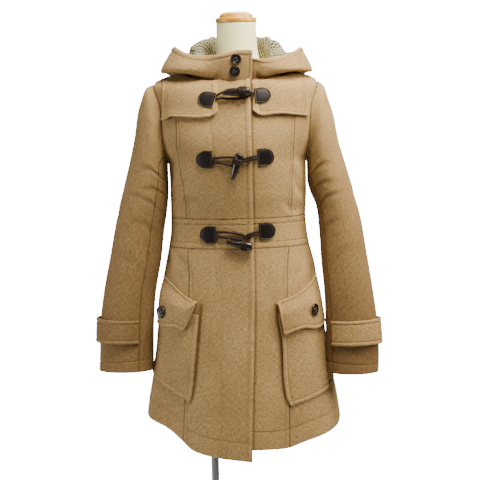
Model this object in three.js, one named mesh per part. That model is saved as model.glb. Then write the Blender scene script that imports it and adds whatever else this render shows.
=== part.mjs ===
// A woman's wool duffle coat, fastened and with its hood down, on a limbless dress form.
// Millimetres, +Z up. The wearer faces -Y and the wearer's left is +X. The origin is the
// middle of the underside of the stand's base plate.
import * as THREE from 'three';

// Cloth thicknesses, and the gaps at seams and under what is laid on the cloth.
const WALL = 2.6;
const SEAM_GAP = 0.3;
const LAY_GAP = 0.8;
const FLAP_WALL = 3.0;
const LINING_WALL = 1.2;
const LEATHER_WALL = 2.2;

// The centre front: the right front laps over the left one.
const LAP_EDGE = { top: 28, bottom: 15 };
const UNDERLAP_EDGE = -22;
const LAP_RISE_START = -62;
const LAP_RISE_END = -36;
const LAP_LIFT = WALL + 0.8;

// Heights of the cross seams, the armhole, the shoulder and the neck seam.
const SKIRT_FOOT = 500;
const SHOULDER_ROW = 1346;
const NECK_ROW = 1361;
const BAND_BOTTOM = 976;
const BAND_TOP = 1042;
const ARMPIT = 1163;
const SHOULDER_TIP = 1337;
const SHOULDER_PRINCESS = 1354;
const NECK_LEVEL = 1366;

// How far the armhole reaches forward and back of the shoulder line, and how far outside it,
// and above or below it, the sleeve's head starts.
const ARMHOLE_FRONT = 62;
const ARMHOLE_BACK = 68;
const HEAD_OUT = 2.9;
const HEAD_RISE = 1.4;

// Sections of the coat's body. A section is a rounded oval: half widths to the wearer's right
// and left, half depths to the front and back, how square the oval is (2 is an ellipse), and
// how far it tips up towards the back (rise for each millimetre of depth).
const BODY = [
  { level: 490, right: 226, left: 226, front: 190, back: 184, square: 2.0, tip: 0 },
  { level: 560, right: 221, left: 222, front: 184, back: 178, square: 2.0, tip: 0 },
  { level: 610, right: 216, left: 216, front: 178, back: 173, square: 2.0, tip: 0 },
  { level: 672, right: 205, left: 205, front: 169, back: 166, square: 2.0, tip: 0 },
  { level: 737, right: 194, left: 191, front: 158, back: 156, square: 2.05, tip: 0 },
  { level: 800, right: 188, left: 183, front: 147, back: 147, square: 2.1, tip: 0 },
  { level: 865, right: 182, left: 173, front: 136, back: 137, square: 2.15, tip: 0 },
  { level: 927, right: 171, left: 164, front: 124, back: 122, square: 2.2, tip: 0 },
  { level: 976, right: 161, left: 153, front: 115, back: 107, square: 2.25, tip: 0 },
  { level: 1009, right: 156, left: 148, front: 112, back: 101, square: 2.3, tip: 0 },
  { level: 1042, right: 155, left: 146, front: 113, back: 100, square: 2.3, tip: 0 },
  { level: 1100, right: 155, left: 149, front: 121, back: 104, square: 2.3, tip: 0 },
  { level: 1163, right: 157, left: 149, front: 125, back: 109, square: 2.3, tip: 0 },
  { level: 1190, right: 168, left: 157, front: 124, back: 111, square: 2.4, tip: 0 },
  { level: 1216, right: 179, left: 166, front: 121, back: 112, square: 2.5, tip: 0 },
  { level: 1257, right: 184, left: 173, front: 112, back: 112, square: 2.6, tip: 0.02 },
  { level: 1300, right: 186, left: 176, front: 101, back: 109, square: 2.6, tip: 0.07 },
  { level: 1326, right: 188, left: 178, front: 94, back: 104, square: 2.5, tip: 0.13 },
  { level: 1337, right: 186, left: 177, front: 90, back: 101, square: 2.4, tip: 0.16 },
  { level: 1352, right: 143, left: 139, front: 84, back: 92, square: 2.2, tip: 0.22 },
  { level: 1366, right: 76, left: 76, front: 76, back: 76, square: 2.0, tip: 0.29 },
];

// Soft flutes of the skirt: where round the body (degrees from the front, plus is the wearer's
// left), how far each stands out at the hem, and how wide it is.
const FLUTES = [
  { turn: -108, out: 5, width: 17 },
  { turn: -72, out: 6, width: 13 },
  { turn: -47, out: -5, width: 10 },
  { turn: -20, out: 4, width: 15 },
  { turn: 24, out: -5, width: 12 },
  { turn: 52, out: 5, width: 13 },
  { turn: 84, out: -4, width: 12 },
  { turn: 118, out: 5, width: 18 },
  { turn: 150, out: -5, width: 14 },
  { turn: 180, out: 6, width: 16 },
  { turn: -150, out: -4, width: 15 },
];
const FLUTE_TOP = 900;
const FLUTE_FOOT = 560;

// The hem's height round the body: it dips in front, and the right front hangs lower.
const HEM = [
  { turn: -180, height: 600 },
  { turn: -120, height: 600 },
  { turn: -88, height: 595 },
  { turn: -58, height: 583 },
  { turn: -40, height: 557 },
  { turn: -30, height: 537 },
  { turn: -16, height: 526 },
  { turn: 5, height: 515 },
];
const HEM_LEFT = [
  { turn: -10, height: 543 },
  { turn: 6, height: 541 },
  { turn: 23, height: 539 },
  { turn: 38, height: 551 },
  { turn: 58, height: 562 },
  { turn: 88, height: 571 },
  { turn: 120, height: 590 },
  { turn: 180, height: 600 },
];

// The princess seams of the front, as widths from the middle at each height.
const PRINCESS = [
  { level: 500, right: 138, left: 100 },
  { level: 638, right: 134, left: 103 },
  { level: 873, right: 117, left: 99 },
  { level: 968, right: 116, left: 104 },
  { level: 1050, right: 118, left: 112 },
  { level: 1094, right: 121, left: 113 },
  { level: 1165, right: 130, left: 117 },
  { level: 1213, right: 135, left: 120 },
  { level: 1260, right: 135, left: 123 },
  { level: 1366, right: 135, left: 128 },
];

// The same seams of the back.
const BACK_PRINCESS = [
  { level: 500, width: 96 },
  { level: 873, width: 82 },
  { level: 1009, width: 66 },
  { level: 1165, width: 78 },
  { level: 1337, width: 112 },
];

// Sleeves: for each ring, the inner and outer points of its long diameter (from the middle of
// the body outwards, and height), the ring's half depths to front and back, and how far the
// ring's middle lies behind the shoulder line.
const SLEEVE_RIGHT = [
  { inX: 161.0, inZ: 1157, outX: 203, outZ: 1329, front: 66, back: 72, middle: 0 },
  { inX: 161.2, inZ: 1147, outX: 216, outZ: 1299, front: 70, back: 76, middle: 0 },
  { inX: 161.2, inZ: 1134, outX: 227, outZ: 1257, front: 70, back: 75, middle: 0 },
  { inX: 161.2, inZ: 1116, outX: 234, outZ: 1212, front: 68, back: 71, middle: -1 },
  { inX: 161.6, inZ: 1091, outX: 246, outZ: 1161, front: 65, back: 67, middle: -2 },
  { inX: 165.0, inZ: 1058, outX: 261, outZ: 1104, front: 62, back: 63, middle: -4 },
  { inX: 173, inZ: 1010, outX: 278, outZ: 1036, front: 58, back: 59, middle: -7 },
  { inX: 182, inZ: 941, outX: 294, outZ: 956, front: 54, back: 54, middle: -11 },
  { inX: 195, inZ: 873, outX: 310, outZ: 879, front: 51, back: 50, middle: -16 },
  { inX: 204, inZ: 804, outX: 320, outZ: 807, front: 48, back: 47, middle: -22 },
  { inX: 209, inZ: 737, outX: 323, outZ: 738, front: 46, back: 45, middle: -29 },
  { inX: 211, inZ: 698, outX: 325, outZ: 698, front: 46, back: 45, middle: -33 },
];
const SLEEVE_LEFT = [
  { inX: 153.2, inZ: 1157, outX: 190, outZ: 1329, front: 66, back: 72, middle: 0 },
  { inX: 153.4, inZ: 1147, outX: 203, outZ: 1292, front: 70, back: 76, middle: 0 },
  { inX: 153.6, inZ: 1134, outX: 214, outZ: 1255, front: 70, back: 75, middle: -1 },
  { inX: 154.0, inZ: 1114, outX: 222, outZ: 1207, front: 67, back: 70, middle: -3 },
  { inX: 160.0, inZ: 1090, outX: 237, outZ: 1154, front: 63, back: 66, middle: -6 },
  { inX: 172.0, inZ: 1060, outX: 253, outZ: 1096, front: 60, back: 61, middle: -10 },
  { inX: 178, inZ: 1004, outX: 270, outZ: 1028, front: 56, back: 57, middle: -17 },
  { inX: 181, inZ: 935, outX: 282, outZ: 948, front: 52, back: 52, middle: -28 },
  { inX: 186, inZ: 866, outX: 293, outZ: 871, front: 49, back: 47, middle: -42 },
  { inX: 191, inZ: 797, outX: 301, outZ: 799, front: 46, back: 44, middle: -56 },
  { inX: 194, inZ: 728, outX: 303, outZ: 728, front: 44, back: 42, middle: -68 },
  { inX: 196, inZ: 691, outX: 301, outZ: 690, front: 43, back: 41, middle: -74 },
];

// Where the sleeve seams run round the sleeve (degrees from its outer side towards the front).
const SLEEVE_SEAMS = {
  right: { top: 146, low: 119, back: -74 },
  left: { top: 150, low: 143, back: -62 },
};
const SEAM_SETTLES = 0.3;

// The radii by which a seam's gap is turned into an angle, on the body and on a sleeve.
const BODY_RADIUS = 130;
const SLEEVE_RADIUS = 50;

// Folds of the sleeves: along the sleeve (0 armhole, 1 cuff), round it, depth, and half widths
// along and round.
const SLEEVE_FOLDS = [
  { along: 0.36, round: 118, depth: 5, length: 0.05, reach: 45 },
  { along: 0.47, round: 60, depth: 3, length: 0.04, reach: 40 },
  { along: 0.56, round: 128, depth: 4, length: 0.035, reach: 38 },
  { along: 0.66, round: 95, depth: 3, length: 0.05, reach: 50 },
  { along: 0.5, round: -105, depth: 5, length: 0.045, reach: 50 },
  { along: 0.62, round: -60, depth: 3.5, length: 0.04, reach: 45 },
  { along: 0.24, round: 60, depth: 3, length: 0.05, reach: 35 },
];

// Cuff straps: heights along the sleeve of their lower and upper edges.
const STRAP_LOW = 0.885;
const STRAP_HIGH = 0.822;
const STRAP_BULGE = 5.5;
const STRAP_INSET = 1.5;

// The hood lies open on the shoulders and hangs down the back. For each turn round the neck
// (degrees from the front), the points of its wall: crest behind the neck, inner wall, lowest
// line, outer roll and free edge, each as distance from the neck's axis and height.
const HOOD = [
  { turn: 0, crestR: 79, crestZ: 1356, innerR: 80, innerZ: 1368, lowR: 81, lowZ: 1380,
    rollR: 81.5, rollZ: 1394, edgeR: 80, edgeZ: 1410 },
  { turn: 25, crestR: 80, crestZ: 1358, innerR: 82, innerZ: 1368, lowR: 84, lowZ: 1379,
    rollR: 86, rollZ: 1392, edgeR: 87, edgeZ: 1405 },
  { turn: 40, crestR: 82, crestZ: 1360, innerR: 87, innerZ: 1364, lowR: 94, lowZ: 1369,
    rollR: 101, rollZ: 1382, edgeR: 97, edgeZ: 1404 },
  { turn: 65, crestR: 85, crestZ: 1374, innerR: 104, innerZ: 1368, lowR: 126, lowZ: 1363,
    rollR: 149, rollZ: 1371, edgeR: 122, edgeZ: 1413 },
  { turn: 90, crestR: 88, crestZ: 1394, innerR: 114, innerZ: 1379, lowR: 142, lowZ: 1366,
    rollR: 168, rollZ: 1365, edgeR: 139, edgeZ: 1421 },
  { turn: 115, crestR: 90, crestZ: 1423, innerR: 118, innerZ: 1394, lowR: 152, lowZ: 1373,
    rollR: 181, rollZ: 1362, edgeR: 154, edgeZ: 1414 },
  { turn: 135, crestR: 91, crestZ: 1430, innerR: 130, innerZ: 1382, lowR: 168, lowZ: 1336,
    rollR: 196, rollZ: 1346, edgeR: 168, edgeZ: 1407 },
  { turn: 155, crestR: 93, crestZ: 1432, innerR: 133, innerZ: 1350, lowR: 166, lowZ: 1262,
    rollR: 197, rollZ: 1306, edgeR: 174, edgeZ: 1402 },
  { turn: 180, crestR: 95, crestZ: 1433, innerR: 131, innerZ: 1325, lowR: 158, lowZ: 1212,
    rollR: 188, rollZ: 1276, edgeR: 170, edgeZ: 1396 },
];
const NECK_RADIUS = 77.5;
const HOOD_FOOT_RISE = 3.0;
const HOOD_LEFT_DROP = 7;
const HOOD_STRIP_HALF = 15;
const HOOD_TURN_STEP = 15;
const HOOD_LAP_FOOT = 0.06;
const HOOD_LINING_SHORT = 0.03;
const LINING_GAP = 2.0;

// Yoke flaps on the shoulders: widths of their inner and outer edges, and their lower edge.
const YOKE = {
  right: { inner: 44, outer: 164, foot: 1268 },
  left: { inner: 32, outer: 151, foot: 1266 },
};
const YOKE_TOP = 1358;
const YOKE_BACK = { right: 147, left: 134, foot: 1246 };
const YOKE_CORNER = 11;
const YOKE_FLARE = 2.2;
const YOKE_SHOULDER_RISE = 2;
const YOKE_STAND = 0.8;
const YOKE_START = WALL / 2 + LAY_GAP + YOKE_STAND;

// Patch pockets: the inner edge's width from the middle at each height, and the slant of the
// lower edge (height at its inner and outer end).
const POCKET_EDGE = [
  { level: 630, right: 131, left: 101 },
  { level: 650, right: 128, left: 94 },
  { level: 680, right: 119.5, left: 88.5 },
  { level: 723, right: 114.5, left: 87.5 },
  { level: 767, right: 110, left: 85 },
  { level: 821, right: 106.5, left: 78 },
  { level: 870, right: 103, left: 74 },
];
const POCKET_FOOT = {
  right: { inner: 647, outer: 692 },
  left: { inner: 630, outer: 668 },
};
const POCKET_MOUTH = { inner: 832, outer: 862 };
const POCKET_OUTER_TURN = 80;
const POCKET_BULGE = 6;

// Pocket flaps: along the flap (0 inner, 1 outer end), heights of its upper and lower edges.
const POCKET_FLAP = {
  right: [
    { across: 0, top: 861, foot: 851 },
    { across: 0.06, top: 864, foot: 830 },
    { across: 0.12, top: 867, foot: 812 },
    { across: 0.2, top: 872, foot: 797 },
    { across: 0.33, top: 882, foot: 803 },
    { across: 0.65, top: 902, foot: 801 },
    { across: 1, top: 910, foot: 803 },
  ],
  left: [
    { across: 0, top: 857, foot: 846 },
    { across: 0.02, top: 858, foot: 812 },
    { across: 0.05, top: 860, foot: 785 },
    { across: 0.2, top: 867, foot: 792 },
    { across: 0.335, top: 873, foot: 796 },
    { across: 0.53, top: 884, foot: 791 },
    { across: 1, top: 908, foot: 798 },
  ],
};
const POCKET_FLAP_INNER = { right: 97, left: 75.5 };
const FLAP_OUTER_TURN = 78;
const FLAP_BULGE = 9;

// Buttons: place (width from the middle, plus is the wearer's left, and height) and size.
const BUTTON_RADIUS = 11.8;
const BUTTON_THICK = 3.6;
const BUTTON_GAP = 0.9;
const BUTTON_HOLE_RADIUS = 1.25;
const BUTTON_HOLE_OFFSET = 2.9;
const HOOD_BUTTONS = [{ turn: -1.5, height: 1390 }, { turn: -3.5, height: 1364.5 }];
const POCKET_BUTTON_RADIUS = 14;
const POCKET_BUTTONS = {
  right: { turn: -63, height: 829, facing: -44, lift: 20 },
  left: { turn: 54, height: 822, facing: 60, lift: 20.5 },
};

// Leather patches of the three fastenings: middle and size. The straight side faces the
// centre front.
const PATCH_WIDTH = 35;
const PATCH_HEIGHT = 38;
const PATCH_START = WALL / 2 + 1.0;
const PATCHES = [
  { name: 'patch_1_right', x: -68, level: 1307, lean: -16, layer: 'yoke' },
  { name: 'patch_1_left', x: 54, level: 1312.5, lean: 3, layer: 'yoke' },
  { name: 'patch_2_right', x: -75, level: 1174, lean: 0, layer: 'front' },
  { name: 'patch_2_left', x: 58, level: 1177, lean: 3, layer: 'front' },
  { name: 'patch_3_right', x: -71, level: 1008, lean: 0, layer: 'front' },
  { name: 'patch_3_left', x: 58, level: 1014, lean: 2, layer: 'front' },
];

// Cords and toggles: points as width from the middle, height, and height of the cord's middle
// over the cloth's face.
const CORD_RADIUS = 1.9;
const CORD_SIDES = 8;
const TOGGLE_LENGTH = 60;
const TOGGLE_PROFILE = [
  { along: 0, radius: 4.2 },
  { along: 0.04, radius: 6.0 },
  { along: 0.14, radius: 6.6 },
  { along: 0.42, radius: 6.2 },
  { along: 0.7, radius: 5.2 },
  { along: 0.92, radius: 3.6 },
  { along: 1, radius: 1.8 },
];
const FASTENINGS = [
  {
    name: '1',
    fat: { x: 27, level: 1320, lift: 15.8 },
    tip: { x: -32, level: 1317, lift: 12 },
    loop: [[-46, 1314, 7.4], [-36, 1320, 6.5], [-20, 1329, 3.4], [4, 1331, 2.6], [20, 1327, 2.4],
      [25, 1319, 2.4], [18, 1310, 2.4], [0, 1307, 2.6], [-22, 1306.5, 3.4], [-37, 1307, 6.5],
      [-48, 1305, 7.2]],
    hold: [[35, 1315, 6.2], [30, 1316.5, 6.8], [22, 1318.2, 6.7], [8, 1319, 5.6]],
  },
  {
    name: '2',
    fat: { x: 2.5, level: 1186, lift: 14.8 },
    tip: { x: -16, level: 1130, lift: 10.5 },
    loop: [[-56.5, 1177, 2.6], [-40, 1178, 2.6], [-18, 1178.5, 2.4], [-3, 1176, 2.4],
      [4, 1169, 2.4], [-3, 1161.5, 2.4], [-18, 1161, 2.4], [-40, 1166.5, 2.6], [-56.5, 1168, 2.6]],
    hold: [[39.5, 1177, 3.4], [30, 1176.5, 4.6], [14, 1172.5, 6.8], [3, 1170.5, 6.4]],
  },
  {
    name: '3',
    fat: { x: 24, level: 980, lift: 13.8 },
    tip: { x: -34, level: 992, lift: 9.5 },
    loop: [[-52.5, 1014, 2.6], [-36, 1014, 2.6], [-14, 1012, 2.4], [4, 1007, 2.4],
      [10, 1000, 2.4], [4, 996.5, 2.4], [-14, 998.5, 2.4], [-36, 1002, 2.6], [-52.5, 1004, 2.6]],
    hold: [[39.5, 1012, 3.4], [28, 1009.5, 5.4], [12, 1002.5, 6.8], [4, 990.5, 7.0]],
  },
];

// The dress form and its stand.
const FORM_FOOT = 780;
const FORM_SHOULDER_INSET = WALL / 2 + 2.3;
const FORM_BACK_INSET = 4.4;
const FORM_INSET = [
  { level: 780, inset: 16 },
  { level: 1000, inset: 11 },
  { level: 1200, inset: 8 },
  { level: 1300, inset: 5 },
  { level: 1337, inset: FORM_SHOULDER_INSET },
  { level: 1366, inset: FORM_SHOULDER_INSET },
];
const NECK = [
  { height: 1365, radius: 70, tip: 0.29 },
  { height: 1374, radius: 59, tip: 0.26 },
  { height: 1387, radius: 51, tip: 0.16 },
  { height: 1405, radius: 46.8, tip: 0.06 },
  { height: 1432, radius: 45, tip: 0 },
  { height: 1471, radius: 44.3, tip: 0 },
];
const CAP_FOOT = 1471.5;
const POLE_X = -70;
const POLE_RADIUS = 9;
const BASE_RADIUS = 190;
const BASE_HEIGHT = 12;

const degrees = THREE.MathUtils.degToRad;
const lerp = THREE.MathUtils.lerp;
const clamp = THREE.MathUtils.clamp;

function smooth(low, high, value) {
  return THREE.MathUtils.smoothstep(value, low, high);
}

// Reads one column of a table at any place between its rows, on a smooth curve that never
// swings past the rows' own values.
function read(rows, key, at, column) {
  const last = rows.length - 1;
  const place = clamp(at, rows[0][key], rows[last][key]);
  let i = 0;
  while (i < last - 1 && place > rows[i + 1][key]) i += 1;
  const rate = (k) => (rows[k + 1][column] - rows[k][column]) / (rows[k + 1][key] - rows[k][key]);
  const slope = (k) => {
    if (k === 0) return rate(0);
    if (k === last) return rate(last - 1);
    const before = rate(k - 1);
    const after = rate(k);
    return before * after <= 0 ? 0 : (2 * before * after) / (before + after);
  };
  const span = rows[i + 1][key] - rows[i][key];
  const u = (place - rows[i][key]) / span;
  const start = rows[i][column];
  const end = rows[i + 1][column];
  return start * (1 + 2 * u) * (1 - u) ** 2 + slope(i) * span * u * (1 - u) ** 2
    + end * u * u * (3 - 2 * u) + slope(i + 1) * span * u * u * (u - 1);
}

function signedPower(value, power) {
  return Math.sign(value) * Math.abs(value) ** power;
}

// Half width of the body's section on one side, and the angle at which the section has a
// given width from the middle, or a given depth from the shoulder line.
function halfWidth(level, side) {
  return read(BODY, 'level', level, side);
}

function turnAtWidth(width, level) {
  const side = width < 0 ? 'right' : 'left';
  const square = read(BODY, 'level', level, 'square');
  const ratio = Math.min(Math.abs(width) / halfWidth(level, side), 1);
  return Math.sign(width) * Math.asin(ratio ** (square / 2));
}

function turnAtDepth(depth, level, face) {
  const square = read(BODY, 'level', level, 'square');
  const ratio = Math.min(depth / read(BODY, 'level', level, face), 1);
  return Math.acos(ratio ** (square / 2));
}

// Difference between two turns in degrees, the short way round.
function turnGap(one, other) {
  const gap = Math.abs(one - other) % 360;
  return Math.min(gap, 360 - gap);
}

function flute(turn, level) {
  let out = 0;
  for (const row of FLUTES) {
    out += row.out * Math.exp(-((turnGap(turn, row.turn) / row.width) ** 2));
  }
  return out * (1 - smooth(FLUTE_FOOT, FLUTE_TOP, level));
}

// A point of the middle surface of the body's cloth. The turn is in radians from the front.
function bodyAt(turn, level) {
  const side = Math.sin(turn) < 0 ? 'right' : 'left';
  const face = Math.cos(turn) > 0 ? 'front' : 'back';
  const power = 2 / read(BODY, 'level', level, 'square');
  const x = halfWidth(level, side) * signedPower(Math.sin(turn), power);
  const y = -read(BODY, 'level', level, face) * signedPower(Math.cos(turn), power);
  const grow = 1 + flute(THREE.MathUtils.radToDeg(turn), level) / Math.hypot(x, y);
  return new THREE.Vector3(x * grow, y * grow, level + read(BODY, 'level', level, 'tip') * y);
}

// The outward direction of a surface at one place, from its neighbours.
function outwardAt(surface, s, t) {
  const step = 0.004;
  const s0 = clamp(s, step, 1 - step);
  const t0 = clamp(t, step, 1 - step);
  const across = surface(s0 + step, t0).sub(surface(s0 - step, t0));
  const along = surface(s0, t0 + step).sub(surface(s0, t0 - step));
  return across.cross(along).normalize();
}

// A piece of cloth or leather: a wall round a surface given over s and t from 0 to 1. It
// reaches inner below the surface and outer above it, where lift(s, t) moves the surface out.
function cloth({ surface, columns, rows, inner, outer, lift = () => 0 }) {
  const sAt = Array.isArray(columns) ? columns : spread(columns);
  const tAt = Array.isArray(rows) ? rows : spread(rows);
  const positions = [];
  const index = [];
  const wide = sAt.length;
  const high = tAt.length;
  for (const side of [outer, -inner]) {
    for (const t of tAt) {
      for (const s of sAt) {
        const out = outwardAt(surface, s, t).multiplyScalar(side + lift(s, t));
        const point = surface(s, t).add(out);
        positions.push(point.x, point.y, point.z);
      }
    }
  }
  const over = (row, column) => row * wide + column;
  const under = (row, column) => wide * high + over(row, column);
  const quad = (a, b, c, d) => index.push(a, b, c, a, c, d);
  for (let row = 0; row < high - 1; row += 1) {
    for (let column = 0; column < wide - 1; column += 1) {
      const right = column + 1;
      const up = row + 1;
      quad(over(row, column), over(row, right), over(up, right), over(up, column));
      quad(under(row, column), under(up, column), under(up, right), under(row, right));
    }
  }
  const top = high - 1;
  for (let column = 0; column < wide - 1; column += 1) {
    const right = column + 1;
    quad(over(0, column), under(0, column), under(0, right), over(0, right));
    quad(over(top, column), over(top, right), under(top, right), under(top, column));
  }
  const end = wide - 1;
  for (let row = 0; row < high - 1; row += 1) {
    const up = row + 1;
    quad(over(row, 0), over(up, 0), under(up, 0), under(row, 0));
    quad(over(row, end), under(row, end), under(up, end), over(up, end));
  }
  return closedGeometry(positions, index);
}

function spread(count) {
  return Array.from({ length: count + 1 }, (_, i) => i / count);
}

// A geometry from points and triangles, without the triangles that shrink to nothing where an
// edge of a panel runs out to a point.
function closedGeometry(positions, index) {
  const keys = new Map();
  const merged = [];
  const renumber = [];
  for (let i = 0; i < positions.length / 3; i += 1) {
    const key = [0, 1, 2].map((axis) => Math.round(positions[i * 3 + axis] * 500)).join();
    if (!keys.has(key)) {
      keys.set(key, merged.length / 3);
      merged.push(positions[i * 3], positions[i * 3 + 1], positions[i * 3 + 2]);
    }
    renumber.push(keys.get(key));
  }
  const kept = [];
  for (let i = 0; i < index.length; i += 3) {
    const [a, b, c] = [0, 1, 2].map((corner) => renumber[index[i + corner]]);
    if (a !== b && b !== c && a !== c) kept.push(a, b, c);
  }
  const geometry = new THREE.BufferGeometry();
  geometry.setAttribute('position', new THREE.Float32BufferAttribute(merged, 3));
  geometry.setIndex(kept);
  geometry.computeVertexNormals();
  return geometry;
}

// A solid through closed rings of points, each ring with the same number of points.
function loft(rings) {
  const positions = rings.flat().flatMap((point) => point.toArray());
  const count = rings[0].length;
  const index = [];
  for (let ring = 0; ring < rings.length - 1; ring += 1) {
    for (let i = 0; i < count; i += 1) {
      const next = (i + 1) % count;
      const low = ring * count;
      const high = low + count;
      index.push(low + i, low + next, high + next, low + i, high + next, high + i);
    }
  }
  for (const [ring, order] of [[0, -1], [rings.length - 1, 1]]) {
    const middle = rings[ring].reduce((sum, point) => sum.add(point), new THREE.Vector3());
    middle.divideScalar(count);
    const centre = positions.length / 3;
    positions.push(middle.x, middle.y, middle.z);
    for (let i = 0; i < count; i += 1) {
      const one = ring * count + i;
      const two = ring * count + ((i + 1) % count);
      if (order > 0) index.push(centre, one, two);
      else index.push(centre, two, one);
    }
  }
  return closedGeometry(positions, index);
}

const materials = {
  wool: new THREE.MeshStandardMaterial({ color: 0xb9986b, roughness: 0.95, metalness: 0 }),
  lining: new THREE.MeshStandardMaterial({ color: 0xb8ad95, roughness: 0.8, metalness: 0 }),
  leather: new THREE.MeshStandardMaterial({ color: 0x2c1f1c, roughness: 0.45, metalness: 0 }),
  horn: new THREE.MeshStandardMaterial({ color: 0x241c19, roughness: 0.3, metalness: 0 }),
  cord: new THREE.MeshStandardMaterial({ color: 0x33211a, roughness: 0.5, metalness: 0 }),
  form: new THREE.MeshStandardMaterial({ color: 0xe4e0d4, roughness: 0.85, metalness: 0 }),
  wood: new THREE.MeshStandardMaterial({ color: 0xb07f45, roughness: 0.4, metalness: 0 }),
  steel: new THREE.MeshStandardMaterial({ color: 0x575b60, roughness: 0.4, metalness: 0.9 }),
};
const object = new THREE.Group();

function add(name, geometry, material) {
  const mesh = new THREE.Mesh(geometry, material);
  mesh.name = name;
  object.add(mesh);
  return mesh;
}

// The lap of the right front over the left one, as a lift over the body's surface.
function lapLift(x) {
  return LAP_LIFT * smooth(LAP_RISE_START, LAP_RISE_END, x);
}

function lapEdge(level) {
  return lerp(LAP_EDGE.bottom, LAP_EDGE.top, smooth(500, 900, level));
}

// Turns of the princess seams. Over the shoulder they swing out to meet the shoulder seam.
function toShoulder(turn, level) {
  return lerp(turn, Math.PI / 2, smooth(SHOULDER_TIP, SHOULDER_PRINCESS, level));
}

function princessTurn(level, side) {
  const sign = side === 'right' ? -1 : 1;
  const width = read(PRINCESS, 'level', Math.min(level, SHOULDER_TIP), side);
  const turn = Math.abs(turnAtWidth(sign * width, Math.min(level, SHOULDER_TIP)));
  return sign * toShoulder(turn, level);
}

function backPrincessTurn(level, side) {
  const sign = side === 'right' ? -1 : 1;
  const width = read(BACK_PRINCESS, 'level', Math.min(level, SHOULDER_TIP), 'width');
  const turn = Math.abs(turnAtWidth(sign * width, Math.min(level, SHOULDER_TIP)));
  return sign * (Math.PI - toShoulder(turn, level));
}

// The armhole's edge on the body at one height, as a turn; below and above it, the side seam
// and the shoulder seam at a right angle to the front.
function sideTurn(level, side, face) {
  const sign = side === 'right' ? -1 : 1;
  if (level <= ARMPIT || level >= SHOULDER_TIP) return (sign * Math.PI) / 2;
  const cosine = (2 * (level - ARMPIT)) / (SHOULDER_TIP - ARMPIT) - 1;
  const reach = face === 'front' ? ARMHOLE_FRONT : ARMHOLE_BACK;
  const turn = turnAtDepth(reach * Math.sqrt(1 - cosine * cosine), level, face);
  return sign * (face === 'front' ? turn : Math.PI - turn);
}

// A panel of the body between two seams, from one height to another. Its edges keep half the
// seam gap from each seam.
function bodyPanel({ from, to, levels, columns, lift = () => 0, hem = null }) {
  const levelAt = (t) => {
    const place = t * (levels.length - 1);
    const i = Math.min(Math.floor(place), levels.length - 2);
    return lerp(levels[i], levels[i + 1], place - i);
  };
  const surface = (s, t) => {
    const nominal = levelAt(t);
    const start = from(nominal);
    const end = to(nominal);
    const inset = Math.min(SEAM_GAP / 2 / BODY_RADIUS, Math.abs(end - start) / 2);
    const way = Math.sign(end - start);
    const turn = lerp(start + way * inset, end - way * inset, s);
    let level = nominal;
    if (hem) level = lerp(hem(turn), levels[levels.length - 1], t);
    return bodyAt(turn, level);
  };
  return cloth({
    surface,
    columns,
    rows: levels.length - 1,
    inner: WALL / 2,
    outer: WALL / 2,
    lift: (s, t) => lift(surface(s, t).x),
  });
}

function evenLevels(low, high, count) {
  return spread(count).map((t) => lerp(low, high, t));
}

// The heights of the rows of a panel that has an armhole edge: they crowd where it turns.
const BODICE_FOOT = BAND_TOP + SEAM_GAP / 2;
const armholeLevels = spread(7)
  .map((t) => lerp(ARMPIT, SHOULDER_TIP, (1 - Math.cos(Math.PI * t)) / 2));
const risingLevels = [
  ...evenLevels(BODICE_FOOT, ARMPIT, 4).slice(0, -1),
  ...armholeLevels,
  SHOULDER_ROW,
];
const frontLevels = [...risingLevels, SHOULDER_PRINCESS, NECK_ROW, NECK_LEVEL];
const sideLevels = [...risingLevels, SHOULDER_PRINCESS - SEAM_GAP];
const bandLevels = evenLevels(BAND_BOTTOM + SEAM_GAP / 2, BAND_TOP - SEAM_GAP / 2, 2);
const skirtLevels = evenLevels(SKIRT_FOOT, BAND_BOTTOM - SEAM_GAP / 2, 10);

function hemHeight(turn, side) {
  const rows = side === 'right' ? HEM : HEM_LEFT;
  return read(rows, 'turn', THREE.MathUtils.radToDeg(turn), 'height');
}

const rightLapTurn = (level) => turnAtWidth(lapEdge(level), level);
const leftLapTurn = (level) => turnAtWidth(UNDERLAP_EDGE, level);

// Bodice: the fronts run from the centre to the princess seams, which end at the shoulder.
add('bodice_front_right', bodyPanel({
  from: (level) => princessTurn(level, 'right'),
  to: rightLapTurn,
  levels: frontLevels,
  columns: 9,
  lift: lapLift,
}), materials.wool);
add('bodice_front_left', bodyPanel({
  from: leftLapTurn,
  to: (level) => princessTurn(level, 'left'),
  levels: frontLevels,
  columns: 8,
}), materials.wool);
for (const side of ['right', 'left']) {
  const seams = [
    (level) => princessTurn(level, side),
    (level) => sideTurn(level, side, 'front'),
  ];
  const [from, to] = side === 'right' ? seams.reverse() : seams;
  const panel = bodyPanel({ from, to, levels: sideLevels, columns: 4 });
  add(`bodice_side_front_${side}`, panel, materials.wool);
}
for (const side of ['right', 'left']) {
  const seams = [
    (level) => sideTurn(level, side, 'back'),
    (level) => backPrincessTurn(level, side),
  ];
  const [from, to] = side === 'right' ? seams.reverse() : seams;
  const panel = bodyPanel({ from, to, levels: sideLevels, columns: 5 });
  add(`bodice_side_back_${side}`, panel, materials.wool);
}
add('bodice_back', bodyPanel({
  from: (level) => backPrincessTurn(level, 'left'),
  to: (level) => 2 * Math.PI + backPrincessTurn(level, 'right'),
  levels: frontLevels,
  columns: 10,
}), materials.wool);

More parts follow.
